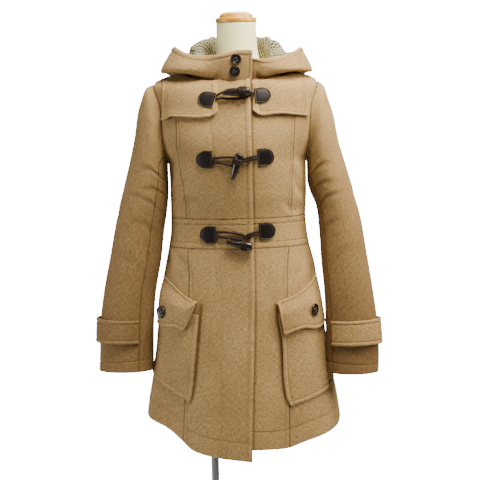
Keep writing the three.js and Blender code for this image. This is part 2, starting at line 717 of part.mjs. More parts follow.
// Waist band, let in between bodice and skirt.
add('waist_front_right', bodyPanel({
  from: () => -Math.PI / 2,
  to: rightLapTurn,
  levels: bandLevels,
  columns: 12,
  lift: lapLift,
}), materials.wool);
add('waist_front_left', bodyPanel({
  from: leftLapTurn,
  to: () => Math.PI / 2,
  levels: bandLevels,
  columns: 11,
}), materials.wool);
add('waist_back', bodyPanel({
  from: () => Math.PI / 2,
  to: () => 1.5 * Math.PI,
  levels: bandLevels,
  columns: 16,
}), materials.wool);

// Skirt panels, from the waist band to the hem.
add('skirt_front_right', bodyPanel({
  from: (level) => princessTurn(level, 'right'),
  to: rightLapTurn,
  levels: skirtLevels,
  columns: 8,
  lift: lapLift,
  hem: (turn) => hemHeight(turn, 'right'),
}), materials.wool);
add('skirt_front_left', bodyPanel({
  from: leftLapTurn,
  to: (level) => princessTurn(level, 'left'),
  levels: skirtLevels,
  columns: 7,
  hem: (turn) => hemHeight(turn, 'left'),
}), materials.wool);
for (const side of ['right', 'left']) {
  const sign = side === 'right' ? -1 : 1;
  const front = [(level) => princessTurn(level, side), () => (sign * Math.PI) / 2];
  const back = [() => (sign * Math.PI) / 2, (level) => backPrincessTurn(level, side)];
  const hem = (turn) => hemHeight(turn, side);
  if (side === 'right') {
    front.reverse();
    back.reverse();
  }
  add(`skirt_side_front_${side}`, bodyPanel({
    from: front[0], to: front[1], levels: skirtLevels, columns: 6, hem,
  }), materials.wool);
  add(`skirt_side_back_${side}`, bodyPanel({
    from: back[0], to: back[1], levels: skirtLevels, columns: 6, hem,
  }), materials.wool);
}
add('skirt_back', bodyPanel({
  from: (level) => backPrincessTurn(level, 'left'),
  to: (level) => 2 * Math.PI + backPrincessTurn(level, 'right'),
  levels: skirtLevels,
  columns: 8,
  hem: () => hemHeight(Math.PI, 'left'),
}), materials.wool);

// Sleeves: rings from the armhole to the cuff. Round 0 is the outer side, 90 the front.
function armholePoint(round, side) {
  const sign = side === 'right' ? -1 : 1;
  const face = Math.sin(round) > 0 ? 'front' : 'back';
  const level = lerp(ARMPIT, SHOULDER_TIP, (1 + Math.cos(round)) / 2);
  const reach = face === 'front' ? ARMHOLE_FRONT : ARMHOLE_BACK;
  const turn = turnAtDepth(reach * Math.abs(Math.sin(round)), level, face);
  const point = bodyAt(sign * (face === 'front' ? turn : Math.PI - turn), level);
  return point.add(new THREE.Vector3(sign * HEAD_OUT, 0, -Math.cos(round) * HEAD_RISE));
}

function ringPoint(row, round, side) {
  const sign = side === 'right' ? -1 : 1;
  const across = (1 + Math.cos(round)) / 2;
  const depth = Math.sin(round) > 0 ? row.front : row.back;
  return new THREE.Vector3(
    sign * lerp(row.inX, row.outX, across),
    row.middle - depth * Math.sin(round),
    lerp(row.inZ, row.outZ, across),
  );
}

function sleeveFold(along, round, side) {
  const turned = side === 'right' ? 0 : 12;
  let out = 0;
  for (const row of SLEEVE_FOLDS) {
    const a = (along - row.along) / row.length;
    const b = turnGap(THREE.MathUtils.radToDeg(round), row.round + turned) / row.reach;
    out -= row.depth * Math.exp(-a * a - b * b);
  }
  return out;
}

function sleeveAt(along, round, side) {
  const rows = side === 'right' ? SLEEVE_RIGHT : SLEEVE_LEFT;
  const rings = [armholePoint(round, side), ...rows.map((row) => ringPoint(row, round, side))];
  const curve = new THREE.CatmullRomCurve3(rings, false, 'centripetal');
  const place = curve.getPoint(along);
  const middle = ringPoint(rows[Math.round(along * (rows.length - 1))], 0, side)
    .add(ringPoint(rows[Math.round(along * (rows.length - 1))], Math.PI, side))
    .multiplyScalar(0.5);
  const away = place.clone().sub(middle);
  away.z = 0;
  return place.add(away.normalize().multiplyScalar(sleeveFold(along, round, side)));
}

function seamRound(along, side) {
  const seam = SLEEVE_SEAMS[side];
  return degrees(lerp(seam.top, seam.low, smooth(0, SEAM_SETTLES, along)));
}

const SLEEVE_ROWS = 12;
function sleevePiece(side, part) {
  const back = degrees(SLEEVE_SEAMS[side].back);
  const gap = SEAM_GAP / 2 / SLEEVE_RADIUS;
  const surface = (s, t) => {
    const along = 1 - t;
    const seam = seamRound(along, side);
    const first = part === 'upper' ? back + gap : seam + gap;
    const last = part === 'upper' ? seam - gap : back + 2 * Math.PI - gap;
    const round = side === 'right' ? lerp(first, last, s) : lerp(last, first, s);
    return sleeveAt(along, round, side);
  };
  return cloth({
    surface,
    columns: part === 'upper' ? 12 : 8,
    rows: SLEEVE_ROWS,
    inner: WALL / 2,
    outer: WALL / 2,
  });
}

for (const side of ['right', 'left']) {
  add(`upper_sleeve_${side}`, sleevePiece(side, 'upper'), materials.wool);
  add(`under_sleeve_${side}`, sleevePiece(side, 'under'), materials.wool);
}

// Cuff straps, caught in the two sleeve seams and standing off the sleeve between them.
for (const side of ['right', 'left']) {
  const back = degrees(SLEEVE_SEAMS[side].back);
  const surface = (s, t) => {
    const along = lerp(STRAP_LOW, STRAP_HIGH, t);
    const seam = seamRound(along, side);
    const inset = degrees(STRAP_INSET);
    const first = back + inset;
    const last = seam - inset;
    return sleeveAt(along, side === 'right' ? lerp(first, last, s) : lerp(last, first, s), side);
  };
  const start = WALL / 2 + LAY_GAP;
  add(`cuff_strap_${side}`, cloth({
    surface,
    columns: 14,
    rows: 2,
    inner: 0,
    outer: FLAP_WALL,
    lift: (s) => start + STRAP_BULGE * Math.sin(Math.PI * s) ** 0.7,
  }), materials.wool);
}

// Hood. Its wall follows a smooth curve from the neck seam to the free edge.
function neckHeight(turn) {
  return NECK_LEVEL - read(BODY, 'level', NECK_LEVEL, 'tip') * NECK_RADIUS * Math.cos(turn);
}

// The same table, carried past the middle of the front and back so that it runs smoothly there.
const hoodRound = [
  { ...HOOD[1], turn: -HOOD[1].turn },
  ...HOOD,
  { ...HOOD[HOOD.length - 2], turn: 360 - HOOD[HOOD.length - 2].turn },
];

function hoodAt(turn, along) {
  const place = Math.abs(THREE.MathUtils.radToDeg(turn));
  const angle = place > 180 ? 360 - place : place;
  const left = Math.sin(turn) > 0 ? Math.sin(turn) ** 2 : 0;
  const column = (name) => read(hoodRound, 'turn', angle, name);
  const foot = new THREE.Vector2(NECK_RADIUS, neckHeight(turn) + HOOD_FOOT_RISE);
  const drop = HOOD_LEFT_DROP * left;
  const curve = new THREE.CatmullRomCurve3([
    new THREE.Vector3(foot.x, foot.y, 0),
    new THREE.Vector3(column('crestR'), Math.max(column('crestZ'), foot.y + 6), 0),
    new THREE.Vector3(column('innerR'), column('innerZ'), 0),
    new THREE.Vector3(column('lowR'), column('lowZ'), 0),
    new THREE.Vector3(column('rollR') - drop * 0.4, column('rollZ') - drop * 0.6, 0),
    new THREE.Vector3(column('edgeR') + drop * 0.6, column('edgeZ') - drop, 0),
  ], false, 'centripetal');
  const point = curve.getPoint(along);
  return new THREE.Vector3(point.x * Math.sin(turn), -point.x * Math.cos(turn), point.y);
}

const hoodRows = [0, 0.11, 0.2, 0.3, 0.43, 0.54, 0.6, 0.67, 0.76, 0.88, 1];
const HOOD_GAP = 0.15;

// A piece of the hood between two turns, in degrees. Its columns stand at the same turns in
// every piece, so that the lining keeps clear of the cloth.
function hoodPiece({ from, to, lift = () => 0, foot = () => 0, edge = 1, wall = WALL }) {
  const turns = [from];
  const first = Math.ceil((from + 2) / HOOD_TURN_STEP) * HOOD_TURN_STEP;
  for (let turn = first; turn < to - 2; turn += HOOD_TURN_STEP) turns.push(turn);
  turns.push(to);
  const rows = hoodRows.map((t, i) => (i === hoodRows.length - 1 ? edge : t));
  return cloth({
    surface: (s, t) => {
      const turn = lerp(from, to, s);
      return hoodAt(degrees(turn), Math.max(t, foot(turn)));
    },
    columns: turns.map((turn) => (turn - from) / (to - from)),
    rows,
    inner: wall / 2,
    outer: wall / 2,
    lift: (s) => lift(lerp(from, to, s)),
  });
}

const lapHoodTurn = THREE.MathUtils.radToDeg(Math.asin(LAP_EDGE.top / NECK_RADIUS)) + 1.5;
const underHoodTurn = THREE.MathUtils.radToDeg(Math.asin(UNDERLAP_EDGE / NECK_RADIUS));
const lapStrength = (turn) => smooth(-42, -28, turn) * (1 - smooth(24, 32, turn));
const overLap = (turn) => HOOD_LAP_FOOT * lapStrength(turn);
add('hood_right', hoodPiece({
  from: -180 + HOOD_STRIP_HALF,
  to: lapHoodTurn,
  lift: (turn) => LAP_LIFT * lapStrength(Math.min(turn, 0)),
  foot: (turn) => 0.5 * overLap(turn),
}), materials.wool);
add('hood_left', hoodPiece({
  from: underHoodTurn,
  to: 180 - HOOD_STRIP_HALF,
  foot: overLap,
}), materials.wool);
add('hood_centre', hoodPiece({
  from: 180 - HOOD_STRIP_HALF + HOOD_GAP,
  to: 180 + HOOD_STRIP_HALF - HOOD_GAP,
}), materials.wool);
const liningDepth = WALL / 2 + LINING_GAP + LINING_WALL / 2;
for (const side of ['right', 'left']) {
  const right = side === 'right';
  add(`hood_lining_${side}`, hoodPiece({
    from: right ? -180 + HOOD_GAP : underHoodTurn + HOOD_GAP,
    to: right ? underHoodTurn - HOOD_GAP : 180 - HOOD_GAP,
    foot: overLap,
    edge: 1 - HOOD_LINING_SHORT,
    lift: () => -liningDepth,
    wall: LINING_WALL,
  }), materials.lining);
}

// Yoke flaps over the shoulders, front and back. Their lower edges stand off a little.
function yokeRows(foot) {
  const levels = [
    foot, 1286, 1306, 1320, 1329, SHOULDER_TIP, SHOULDER_ROW, SHOULDER_PRINCESS, YOKE_TOP,
  ];
  return levels.map((level) => (level - foot) / (YOKE_TOP - foot));
}

function yokeSurface(inner, outer, foot) {
  return (s, t) => {
    const corner = YOKE_CORNER * Math.max(0, 1 - s / 0.12) ** 2 * (1 - t);
    const level = lerp(foot, YOKE_TOP, t) + corner;
    const start = turnAtWidth(inner, level);
    const end = turnAtWidth(outer, level);
    return bodyAt(lerp(start, end, s), level);
  };
}
for (const side of ['right', 'left']) {
  const sign = side === 'right' ? -1 : 1;
  const row = YOKE[side];
  const ordered = yokeSurface(sign * row.inner, sign * row.outer, row.foot);
  const surface = side === 'right' ? (s, t) => ordered(1 - s, t) : ordered;
  const lapped = side === 'right' ? lapLift : () => 0;
  const across = [0, 0.06, 0.12, 0.26, 0.42, 0.58, 0.72, 0.86, 1];
  add(`yoke_front_${side}`, cloth({
    surface,
    columns: side === 'right' ? across.map((s) => 1 - s).reverse() : across,
    rows: yokeRows(row.foot),
    inner: 0,
    outer: FLAP_WALL,
    lift: (s, t) => YOKE_START + lapped(surface(s, t).x) + YOKE_FLARE * (1 - smooth(0, 0.2, t)),
  }), materials.wool);
}
add('yoke_back', cloth({
  surface: (s, t) => {
    const level = lerp(YOKE_BACK.foot, YOKE_TOP, t);
    const left = Math.PI - Math.abs(turnAtWidth(YOKE_BACK.left, level));
    const right = Math.PI + Math.abs(turnAtWidth(-YOKE_BACK.right, level));
    return bodyAt(lerp(left, right, s), level);
  },
  columns: 13,
  rows: yokeRows(YOKE_BACK.foot),
  inner: 0,
  outer: FLAP_WALL,
  lift: (s, t) => YOKE_START + YOKE_SHOULDER_RISE * smooth(0.82, 0.95, t)
    + YOKE_FLARE * (1 - smooth(0, 0.2, t)),
}), materials.wool);

// Patch pockets and their flaps. Across runs from the inner edge to the side of the body.
function pocketSurface(side) {
  const sign = side === 'right' ? -1 : 1;
  const foot = POCKET_FOOT[side];
  return (across, t) => {
    const low = lerp(foot.inner, foot.outer, across);
    const level = lerp(low, lerp(POCKET_MOUTH.inner, POCKET_MOUTH.outer, across), t);
    const inner = turnAtWidth(sign * read(POCKET_EDGE, 'level', level, side), level);
    return bodyAt(lerp(inner, sign * degrees(POCKET_OUTER_TURN), across), level);
  };
}

function pocketLift(across, t) {
  const up = smooth(0, 0.45, t) * (1 - 0.4 * smooth(0.7, 1, t));
  const crown = 0.35 + 0.65 * Math.sin(Math.PI * clamp(across * 0.9 + 0.12, 0, 1)) ** 0.8;
  return POCKET_BULGE * up * crown * (1 - smooth(0.6, 1, across));
}

function flapSurface(side) {
  const sign = side === 'right' ? -1 : 1;
  return (across, t) => {
    const top = read(POCKET_FLAP[side], 'across', across, 'top');
    const foot = read(POCKET_FLAP[side], 'across', across, 'foot');
    const inner = turnAtWidth(sign * POCKET_FLAP_INNER[side], top);
    return bodyAt(lerp(inner, sign * degrees(FLAP_OUTER_TURN), across), lerp(foot, top, t));
  };
}

function flapLift(across, t) {
  return FLAP_BULGE * (1 - smooth(0.55, 1, t)) * (1 - smooth(0.55, 1, across));
}

const pocketColumns = spread(7);
const flapColumns = [0, 0.03, 0.06, 0.1, 0.15, 0.2, 0.33, 0.48, 0.65, 0.82, 1];
for (const side of ['right', 'left']) {
  const mirrored = side === 'right';
  const pocket = pocketSurface(side);
  const flap = flapSurface(side);
  const start = WALL / 2 + LAY_GAP;
  const over = WALL / 2 + 2 * LAY_GAP + FLAP_WALL;
  const way = (s) => (mirrored ? 1 - s : s);
  add(`pocket_${side}`, cloth({
    surface: (s, t) => pocket(way(s), t),
    columns: pocketColumns,
    rows: 7,
    inner: 0,
    outer: FLAP_WALL,
    lift: (s, t) => start + pocketLift(way(s), t),
  }), materials.wool);
  add(`pocket_flap_${side}`, cloth({
    surface: (s, t) => flap(way(s), t),
    columns: flapColumns.map(way).sort((a, b) => a - b),
    rows: 5,
    inner: 0,
    outer: FLAP_WALL,
    lift: (s, t) => lerp(over, start, smooth(0.55, 1, t)) + flapLift(way(s), t),
  }), materials.wool);
}

// Stands a piece made flat, facing +Z, on a surface point with its own +Y kept upright.
function standOn(mesh, point, outward, lean = 0) {
  const up = new THREE.Vector3(0, 0, 1);
  const across = up.clone().cross(outward).normalize();
  const upright = outward.clone().cross(across);
  mesh.quaternion.setFromRotationMatrix(new THREE.Matrix4().makeBasis(across, upright, outward));
  mesh.rotateZ(degrees(lean));
  mesh.position.copy(point);
}

function circlePoints(x, y, radius, count) {
  return spread(count).slice(0, -1).map((t) => new THREE.Vector2(
    x + radius * Math.cos(2 * Math.PI * t),
    y + radius * Math.sin(2 * Math.PI * t),
  ));
}

function buttonGeometry(radius) {
  const outline = new THREE.Shape(circlePoints(0, 0, radius, 20));
  for (const x of [-1, 1]) {
    for (const y of [-1, 1]) {
      const place = [x * BUTTON_HOLE_OFFSET, y * BUTTON_HOLE_OFFSET];
      outline.holes.push(new THREE.Path(circlePoints(...place, BUTTON_HOLE_RADIUS, 5).reverse()));
    }
  }
  return new THREE.ExtrudeGeometry(outline, { depth: BUTTON_THICK, bevelEnabled: false });
}

for (const [i, row] of HOOD_BUTTONS.entries()) {
  const turn = degrees(row.turn);
  const surface = (s, t) => hoodAt(turn + (s - 0.5) * 0.4, t);
  const heights = spread(40).map((t) => ({ t, z: surface(0.5, t).z }));
  const miss = (place) => Math.abs(place.z - row.height);
  const along = heights.reduce((a, b) => (miss(b) < miss(a) ? b : a)).t;
  const outward = outwardAt(surface, 0.5, along);
  const lift = LAP_LIFT + WALL / 2 + BUTTON_GAP;
  const button = add(`hood_button_${i + 1}`, buttonGeometry(BUTTON_RADIUS), materials.horn);
  standOn(button, surface(0.5, along).addScaledVector(outward, lift), outward, 20 + 30 * i);
}
for (const side of ['right', 'left']) {
  const row = POCKET_BUTTONS[side];
  const facing = degrees(row.facing);
  const outward = new THREE.Vector3(Math.sin(facing), -Math.cos(facing), 0);
  const place = bodyAt(degrees(row.turn), row.height).addScaledVector(outward, row.lift);
  const button = add(`pocket_button_${side}`, buttonGeometry(POCKET_BUTTON_RADIUS), materials.horn);
  standOn(button, place, outward, 15);
}

// A point over the front: width from the middle, height and lift over the cloth's face.
function overFront(x, level, lift, lapped) {
  const surface = (s, t) => bodyAt(turnAtWidth(x + (s - 0.5) * 4, level), level + (t - 0.5) * 4);
  const outward = outwardAt(surface, 0.5, 0.5);
  const rise = WALL / 2 + lift + (lapped && x < LAP_EDGE.top + 8 ? lapLift(x) : 0);
  return surface(0.5, 0.5).addScaledVector(outward, rise);
}

// Leather patches: straight towards the centre front, round on the other side.
for (const row of PATCHES) {
  const sign = Math.sign(row.x);
  const lean = degrees(row.lean);
  const under = row.layer === 'yoke' ? FLAP_WALL + LAY_GAP + YOKE_STAND : 0;
  const surface = (s, t) => {
    const v = 2 * t - 1;
    const half = Math.max(0.3, (1 - Math.abs(v) ** 2.6) ** 0.5);
    const u = sign * PATCH_WIDTH * (-0.5 + half * (sign > 0 ? s : 1 - s));
    const h = (v * PATCH_HEIGHT) / 2;
    const x = row.x + u * Math.cos(lean) - h * Math.sin(lean);
    const level = row.level + u * Math.sin(lean) + h * Math.cos(lean);
    return bodyAt(turnAtWidth(x, level), level);
  };
  add(row.name, cloth({
    surface,
    columns: 3,
    rows: [0, 0.06, 0.18, 0.38, 0.62, 0.82, 0.94, 1],
    inner: 0,
    outer: LEATHER_WALL,
    lift: (s, t) => PATCH_START + under + (sign < 0 ? lapLift(surface(s, t).x) : 0),
  }), materials.leather);
}

// Horn toggles and the leather cords that hold and loop them.
function cordGeometry(points, steps) {
  const curve = new THREE.CatmullRomCurve3(points, false, 'centripetal');
  const section = new THREE.Shape();
  section.absarc(0, 0, CORD_RADIUS, 0, 2 * Math.PI, false);
  return new THREE.ExtrudeGeometry(section, {
    steps,
    extrudePath: curve,
    bevelEnabled: false,
    curveSegments: CORD_SIDES / 2,
  });
}

for (const row of FASTENINGS) {
  const profile = [new THREE.Vector2(0, 0)];
  for (const ring of TOGGLE_PROFILE) {
    profile.push(new THREE.Vector2(ring.radius, ring.along * TOGGLE_LENGTH));
  }
  profile.push(new THREE.Vector2(0, TOGGLE_LENGTH));
  const toggle = add(`toggle_${row.name}`, new THREE.LatheGeometry(profile, 10), materials.horn);
  const fat = overFront(row.fat.x, row.fat.level, row.fat.lift, true);
  const tip = overFront(row.tip.x, row.tip.level, row.tip.lift, true);
  const direction = tip.clone().sub(fat).normalize();
  toggle.quaternion.setFromUnitVectors(new THREE.Vector3(0, 1, 0), direction);
  toggle.position.copy(fat);
  const loop = row.loop.map(([x, level, lift]) => overFront(x, level, lift, true));
  add(`loop_cord_${row.name}`, cordGeometry(loop, 17), materials.cord);
  const hold = row.hold.map(([x, level, lift]) => overFront(x, level, lift, true));
  add(`toggle_cord_${row.name}`, cordGeometry(hold, 8), materials.cord);
}

// Dress form: a torso a little smaller than the coat, with its neck.
const FORM_POINTS = 24;
const formLevels = [
  ...evenLevels(FORM_FOOT, ARMPIT, 5),
  1216, 1257, 1300, 1326, SHOULDER_TIP, SHOULDER_ROW, SHOULDER_PRINCESS, NECK_ROW,
];
const formRings = [];
for (const level of formLevels) {
  const inset = read(FORM_INSET, 'level', level, 'inset');
  formRings.push(Array.from({ length: FORM_POINTS }, (_, i) => {
    const turn = (2 * Math.PI * i) / FORM_POINTS;
    const surface = (s, t) => bodyAt(turn + (s - 0.5) * 0.06, level + (t - 0.5) * 6);
    const behind = Math.max(0, -Math.cos(turn)) ** 0.5 * smooth(1257, SHOULDER_TIP, level);
    const depth = inset + FORM_BACK_INSET * behind;
    const point = surface(0.5, 0.5).addScaledVector(outwardAt(surface, 0.5, 0.5), -depth);
    if (level === FORM_FOOT) point.z = FORM_FOOT;
    return point;
  }));
}
for (const row of NECK) {
  formRings.push(Array.from({ length: FORM_POINTS }, (_, i) => {
    const turn = (2 * Math.PI * i) / FORM_POINTS;
    const y = -row.radius * Math.cos(turn);
    return new THREE.Vector3(row.radius * Math.sin(turn), y, row.height + row.tip * y);
  }));
}
add('form_torso', loft(formRings), materials.form);

const capProfile = [
  [0, 0], [45.4, 0], [45.4, 9], [43.8, 10.4], [38.6, 10.8], [37.4, 15.5], [32, 20.4],
  [19, 23.8], [0, 24.6],
].map(([radius, height]) => new THREE.Vector2(radius, height));
const cap = add('form_neck_cap', new THREE.LatheGeometry(capProfile, 20), materials.wood);
cap.rotation.x = Math.PI / 2;
cap.position.set(0, 0, CAP_FOOT);

// Stand: a pole set to one side under the form, and a round base plate.
const poleLength = FORM_FOOT - BASE_HEIGHT - 2 * SEAM_GAP;
const poleTube = new THREE.CylinderGeometry(POLE_RADIUS, POLE_RADIUS, poleLength, 24);
const pole = add('stand_pole', poleTube, materials.steel);
pole.rotation.x = Math.PI / 2;
pole.position.set(POLE_X, 0, BASE_HEIGHT + SEAM_GAP + poleLength / 2);
const baseProfile = [
  [0, 0], [BASE_RADIUS, 0], [BASE_RADIUS, 7], [BASE_RADIUS - 6, BASE_HEIGHT], [0, BASE_HEIGHT],
].map(([radius, height]) => new THREE.Vector2(radius, height));
const base = add('stand_base', new THREE.LatheGeometry(baseProfile, 36), materials.steel);
base.rotation.x = Math.PI / 2;

export default object;
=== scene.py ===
import math

import bpy
import numpy as np
from mathutils import Matrix, Vector


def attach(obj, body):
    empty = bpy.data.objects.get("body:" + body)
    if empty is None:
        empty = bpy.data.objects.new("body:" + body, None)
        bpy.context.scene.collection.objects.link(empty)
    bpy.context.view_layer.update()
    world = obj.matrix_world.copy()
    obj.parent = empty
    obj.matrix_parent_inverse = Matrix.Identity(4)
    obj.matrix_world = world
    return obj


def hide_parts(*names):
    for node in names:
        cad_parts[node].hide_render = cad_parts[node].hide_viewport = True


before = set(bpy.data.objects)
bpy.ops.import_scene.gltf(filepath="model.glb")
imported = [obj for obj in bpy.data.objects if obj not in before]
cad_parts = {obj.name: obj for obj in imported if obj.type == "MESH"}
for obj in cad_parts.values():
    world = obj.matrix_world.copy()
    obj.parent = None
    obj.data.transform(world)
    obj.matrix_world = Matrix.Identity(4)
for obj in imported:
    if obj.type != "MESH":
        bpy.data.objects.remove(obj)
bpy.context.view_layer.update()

# The camera stands 3.6 m in front of the coat at collar height. It looks a little down and
# is turned a little, so that the pole leans as it does in the photograph.
CAMERA_PLACE = (-0.0018, -3.6, 1.388)
CAMERA_DIP = math.atan(180 / 1600)
CAMERA_TURN = math.radians(1.25)
camera_data = bpy.data.cameras.new("camera")
camera_data.lens = 120
camera_data.sensor_width = 36
camera = bpy.data.objects.new("camera", camera_data)
bpy.context.collection.objects.link(camera)
bpy.context.scene.camera = camera
level_up = Vector((0, math.sin(CAMERA_DIP), math.cos(CAMERA_DIP)))
across = Vector((1, 0, 0))
camera_right = math.cos(CAMERA_TURN) * across - math.sin(CAMERA_TURN) * level_up
camera_up = math.cos(CAMERA_TURN) * level_up + math.sin(CAMERA_TURN) * across
camera_back = Vector((0, -math.cos(CAMERA_DIP), math.sin(CAMERA_DIP)))
camera.matrix_world = (
    Matrix.Translation(CAMERA_PLACE)
    @ Matrix((camera_right, camera_up, camera_back)).transposed().to_4x4()
)


# The stand is a round steel plate and a steel tube, both with a satin dark grey coat. The
# tube is screwed into the plate off its middle, and runs up into the dress form.
class Wire:
    """A shader socket that can be used in sums and products."""

    def __init__(self, tree, socket):
        self.tree = tree
        self.socket = socket

    def math(self, operation, first, second):
        node = self.tree.nodes.new("ShaderNodeMath")
        node.operation = operation
        for socket, value in zip(node.inputs, (first, second)):
            if isinstance(value, Wire):
                self.tree.links.new(value.socket, socket)
            else:
                socket.default_value = value
        return Wire(self.tree, node.outputs[0])

    def __add__(self, other):
        return self.math("ADD", self, other)

    def __radd__(self, other):
        return self.math("ADD", other, self)

    def __sub__(self, other):
        return self.math("SUBTRACT", self, other)

    def __rsub__(self, other):
        return self.math("SUBTRACT", other, self)

    def __mul__(self, other):
        return self.math("MULTIPLY", self, other)

    def __rmul__(self, other):
        return self.math("MULTIPLY", other, self)

    def __lt__(self, other):
        return self.math("LESS_THAN", self, other)

    def __gt__(self, other):
        return self.math("GREATER_THAN", self, other)


class Finish:
    """One material: its shader's own values are set once, and wires drive what varies."""

    def __init__(self, name, **values):
        self.material = bpy.data.materials.new(name)
        self.material.use_nodes = True
        self.tree = self.material.node_tree
        self.shader = self.tree.nodes["Principled BSDF"]
        for key, value in values.items():
            self.shader.inputs[key.replace("_", " ")].default_value = value

    def node(self, kind, settings=None, output=0, **sockets):
        node = self.tree.nodes.new("ShaderNode" + kind)
        for key, value in (settings or {}).items():
            if key == "stops":
                ramp = node.color_ramp.elements
                while len(ramp) < len(value):
                    ramp.new(0.5)
                for element, (place, color) in zip(ramp, value):
                    element.position = place
                    element.color = color
            else:
                setattr(node, key, value)
        for key, value in sockets.items():
            socket = node.inputs[int(key[1:]) if key[1:].isdigit() else key.replace("_", " ")]
            if isinstance(value, Wire):
                self.tree.links.new(value.socket, socket)
            else:
                socket.default_value = value
        return Wire(self.tree, node.outputs[output])

    def noise(self, vector, scale, detail=2.0, rough=0.5):
        return self.node(
            "TexNoise", Vector=vector, Scale=scale, Detail=detail, Roughness=rough
        )

    def place(self):
        return self.node("TexCoord", output="Object")

    def stretch(self, vector, factors):
        return self.node("VectorMath", {"operation": "MULTIPLY"}, _0=vector, _1=factors)

    def blend(self, factor, first, second):
        """A colour between two colours."""
        return self.node(
            "Mix", {"data_type": "RGBA"}, output=2, _0=factor, _6=first, _7=second
        )

    def part(self, vector, axis):
        return self.node("SeparateXYZ", output=axis, Vector=vector)

    def larger(self, one, two):
        return self.node("Math", {"operation": "MAXIMUM"}, _0=one, _1=two)

    def period(self, value, scale):
        """How far a value is along its own repeat, 0 to 1."""
        return self.node("Math", {"operation": "FRACT"}, _0=value * scale)

    def drive(self, key, wire):
        self.tree.links.new(wire.socket, self.shader.inputs[key])

    def bump(self, height, distance, strength=1.0):
        normal = self.node("Bump", Height=height, Distance=distance, Strength=strength)
        self.drive("Normal", normal)

    def color(self, wire):
        self.drive("Base Color", wire)


def rgb(red, green, blue):
    """A colour from its screen values, 0 to 255."""
    linear = [((v / 255 + 0.055) / 1.055) ** 2.4 for v in (red, green, blue)]
    return (*linear, 1.0)


def mesh_piece(name, points, faces, finish, smooth=True):
    """A piece from points in millimetres and faces."""
    mesh = bpy.data.meshes.new(name)
    mesh.from_pydata((np.asarray(points) * 0.001).tolist(), [], faces)
    mesh.polygons.foreach_set("use_smooth", [smooth] * len(mesh.polygons))
    mesh.materials.append(finish.material)
    piece = bpy.data.objects.new(name, mesh)
    bpy.context.collection.objects.link(piece)
    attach(piece, "root")
    return piece


def ring_faces(rings, count):
    """Four-sided faces between closed rings of points, and fans over a middle point at each end."""
    i = np.arange(count)
    faces = []
    for ring in range(rings - 1):
        low = ring * count
        quads = np.stack([low + i, low + (i + 1) % count, low + count + (i + 1) % count, low + count + i], 1)
        faces += quads.tolist()
    first, last = rings * count, rings * count + 1
    top = (rings - 1) * count
    for k in range(count):
        faces.append([first, (k + 1) % count, k])
        faces.append([last, top + k, top + (k + 1) % count])
    return faces


def rounded(profile, radius=0.8, steps=3):
    """A turned profile with each of its corners rounded off."""
    points = [profile[0]]
    for before, corner, after in zip(profile, profile[1:], profile[2:]):
        before, corner, after = map(np.array, (before, corner, after))
        back = (before - corner) / np.linalg.norm(before - corner)
        on = (after - corner) / np.linalg.norm(after - corner)
        cut = min(radius, 0.45 * np.linalg.norm(before - corner), 0.45 * np.linalg.norm(after - corner))
        for t in np.linspace(0, 1, steps + 1):
            points.append(corner + back * cut * (1 - t) ** 2 + on * cut * t**2)
    points.append(profile[-1])
    return points


def turned(name, profile, finish, count=64, frame_at=None):
    """A turned piece: radius and height pairs about an axis. frame_at is its place and three axes."""
    profile = np.array(rounded(profile), float)
    turn = np.linspace(0, 2 * np.pi, count, endpoint=False)
    middle = profile[1:-1]
    ring = np.stack([np.cos(turn), np.sin(turn)], 1)
    points = np.concatenate(
        [np.column_stack([ring * radius, np.full(count, height)]) for radius, height in middle]
        + [[[0, 0, profile[0][1]]], [[0, 0, profile[-1][1]]]]
    )
    if frame_at is not None:
        place, axes = frame_at
        points = place + points @ np.array(axes)
    return mesh_piece(name, points, ring_faces(len(middle), count), finish)


steel = Finish("satin_steel", Roughness=0.38, Metallic=0.35, Specular_IOR_Level=0.5)
steel_speck = steel.noise(steel.place(), 900.0, 3.0)
steel.color(steel.blend(steel.noise(steel.place(), 9.0), rgb(112, 117, 115), rgb(142, 147, 144)))
steel.bump(steel_speck, 0.0003, 0.25)
POLE_X = -70
base_plate = turned(
    "base_plate", [(0, 0), (188.6, 0), (190, 1.4), (190, 7), (184, 12), (0, 12)], steel, 160
)
pole_tube = turned(
    "pole_tube",
    [(0, 12.3), (8.6, 12.3), (9, 13), (9, 778.6), (8.6, 779.4), (0, 779.4)],
    steel,
    48,
    (np.array([POLE_X, 0, 0]), np.eye(3)),
)
pole_collar = turned(
    "pole_collar",
    [(9.2, 12.1), (16, 12.1), (16.5, 13), (16.5, 22), (15, 24), (9.2, 24)],
    steel,
    48,
    (np.array([POLE_X, 0, 0]), np.eye(3)),
)
for piece, node in ((base_plate, "stand_base"), (pole_tube, "stand_pole")):
    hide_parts(node)


# The dress form is a padded shell under cream jersey. It fills the coat's shoulders and waist
# and ends in a straight neck. All its sections follow the coat's body, a little inside.
def table(names, *rows):
    return {name: np.array(column, float) for name, column in zip(names.split(), zip(*rows))}


def read(rows, column, at):
    """A column of a table at any place between its rows, on a curve that never overshoots."""
    keys = next(iter(rows.values()))
    values = rows[column]
    at = np.clip(at, keys[0], keys[-1])
    rate = np.diff(values) / np.diff(keys)
    before, after = rate[:-1], rate[1:]
    total = np.where(before * after > 0, before + after, 1)
    inner = np.where(before * after > 0, 2 * before * after / total, 0)
    slope = np.concatenate([rate[:1], inner, rate[-1:]])
    i = np.clip(np.searchsorted(keys, at, side="right") - 1, 0, len(keys) - 2)
    span = keys[i + 1] - keys[i]
    u = (at - keys[i]) / span
    start = values[i] * (1 + 2 * u) * (1 - u) ** 2 + slope[i] * span * u * (1 - u) ** 2
    return start + values[i + 1] * u * u * (3 - 2 * u) + slope[i + 1] * span * u * u * (u - 1)


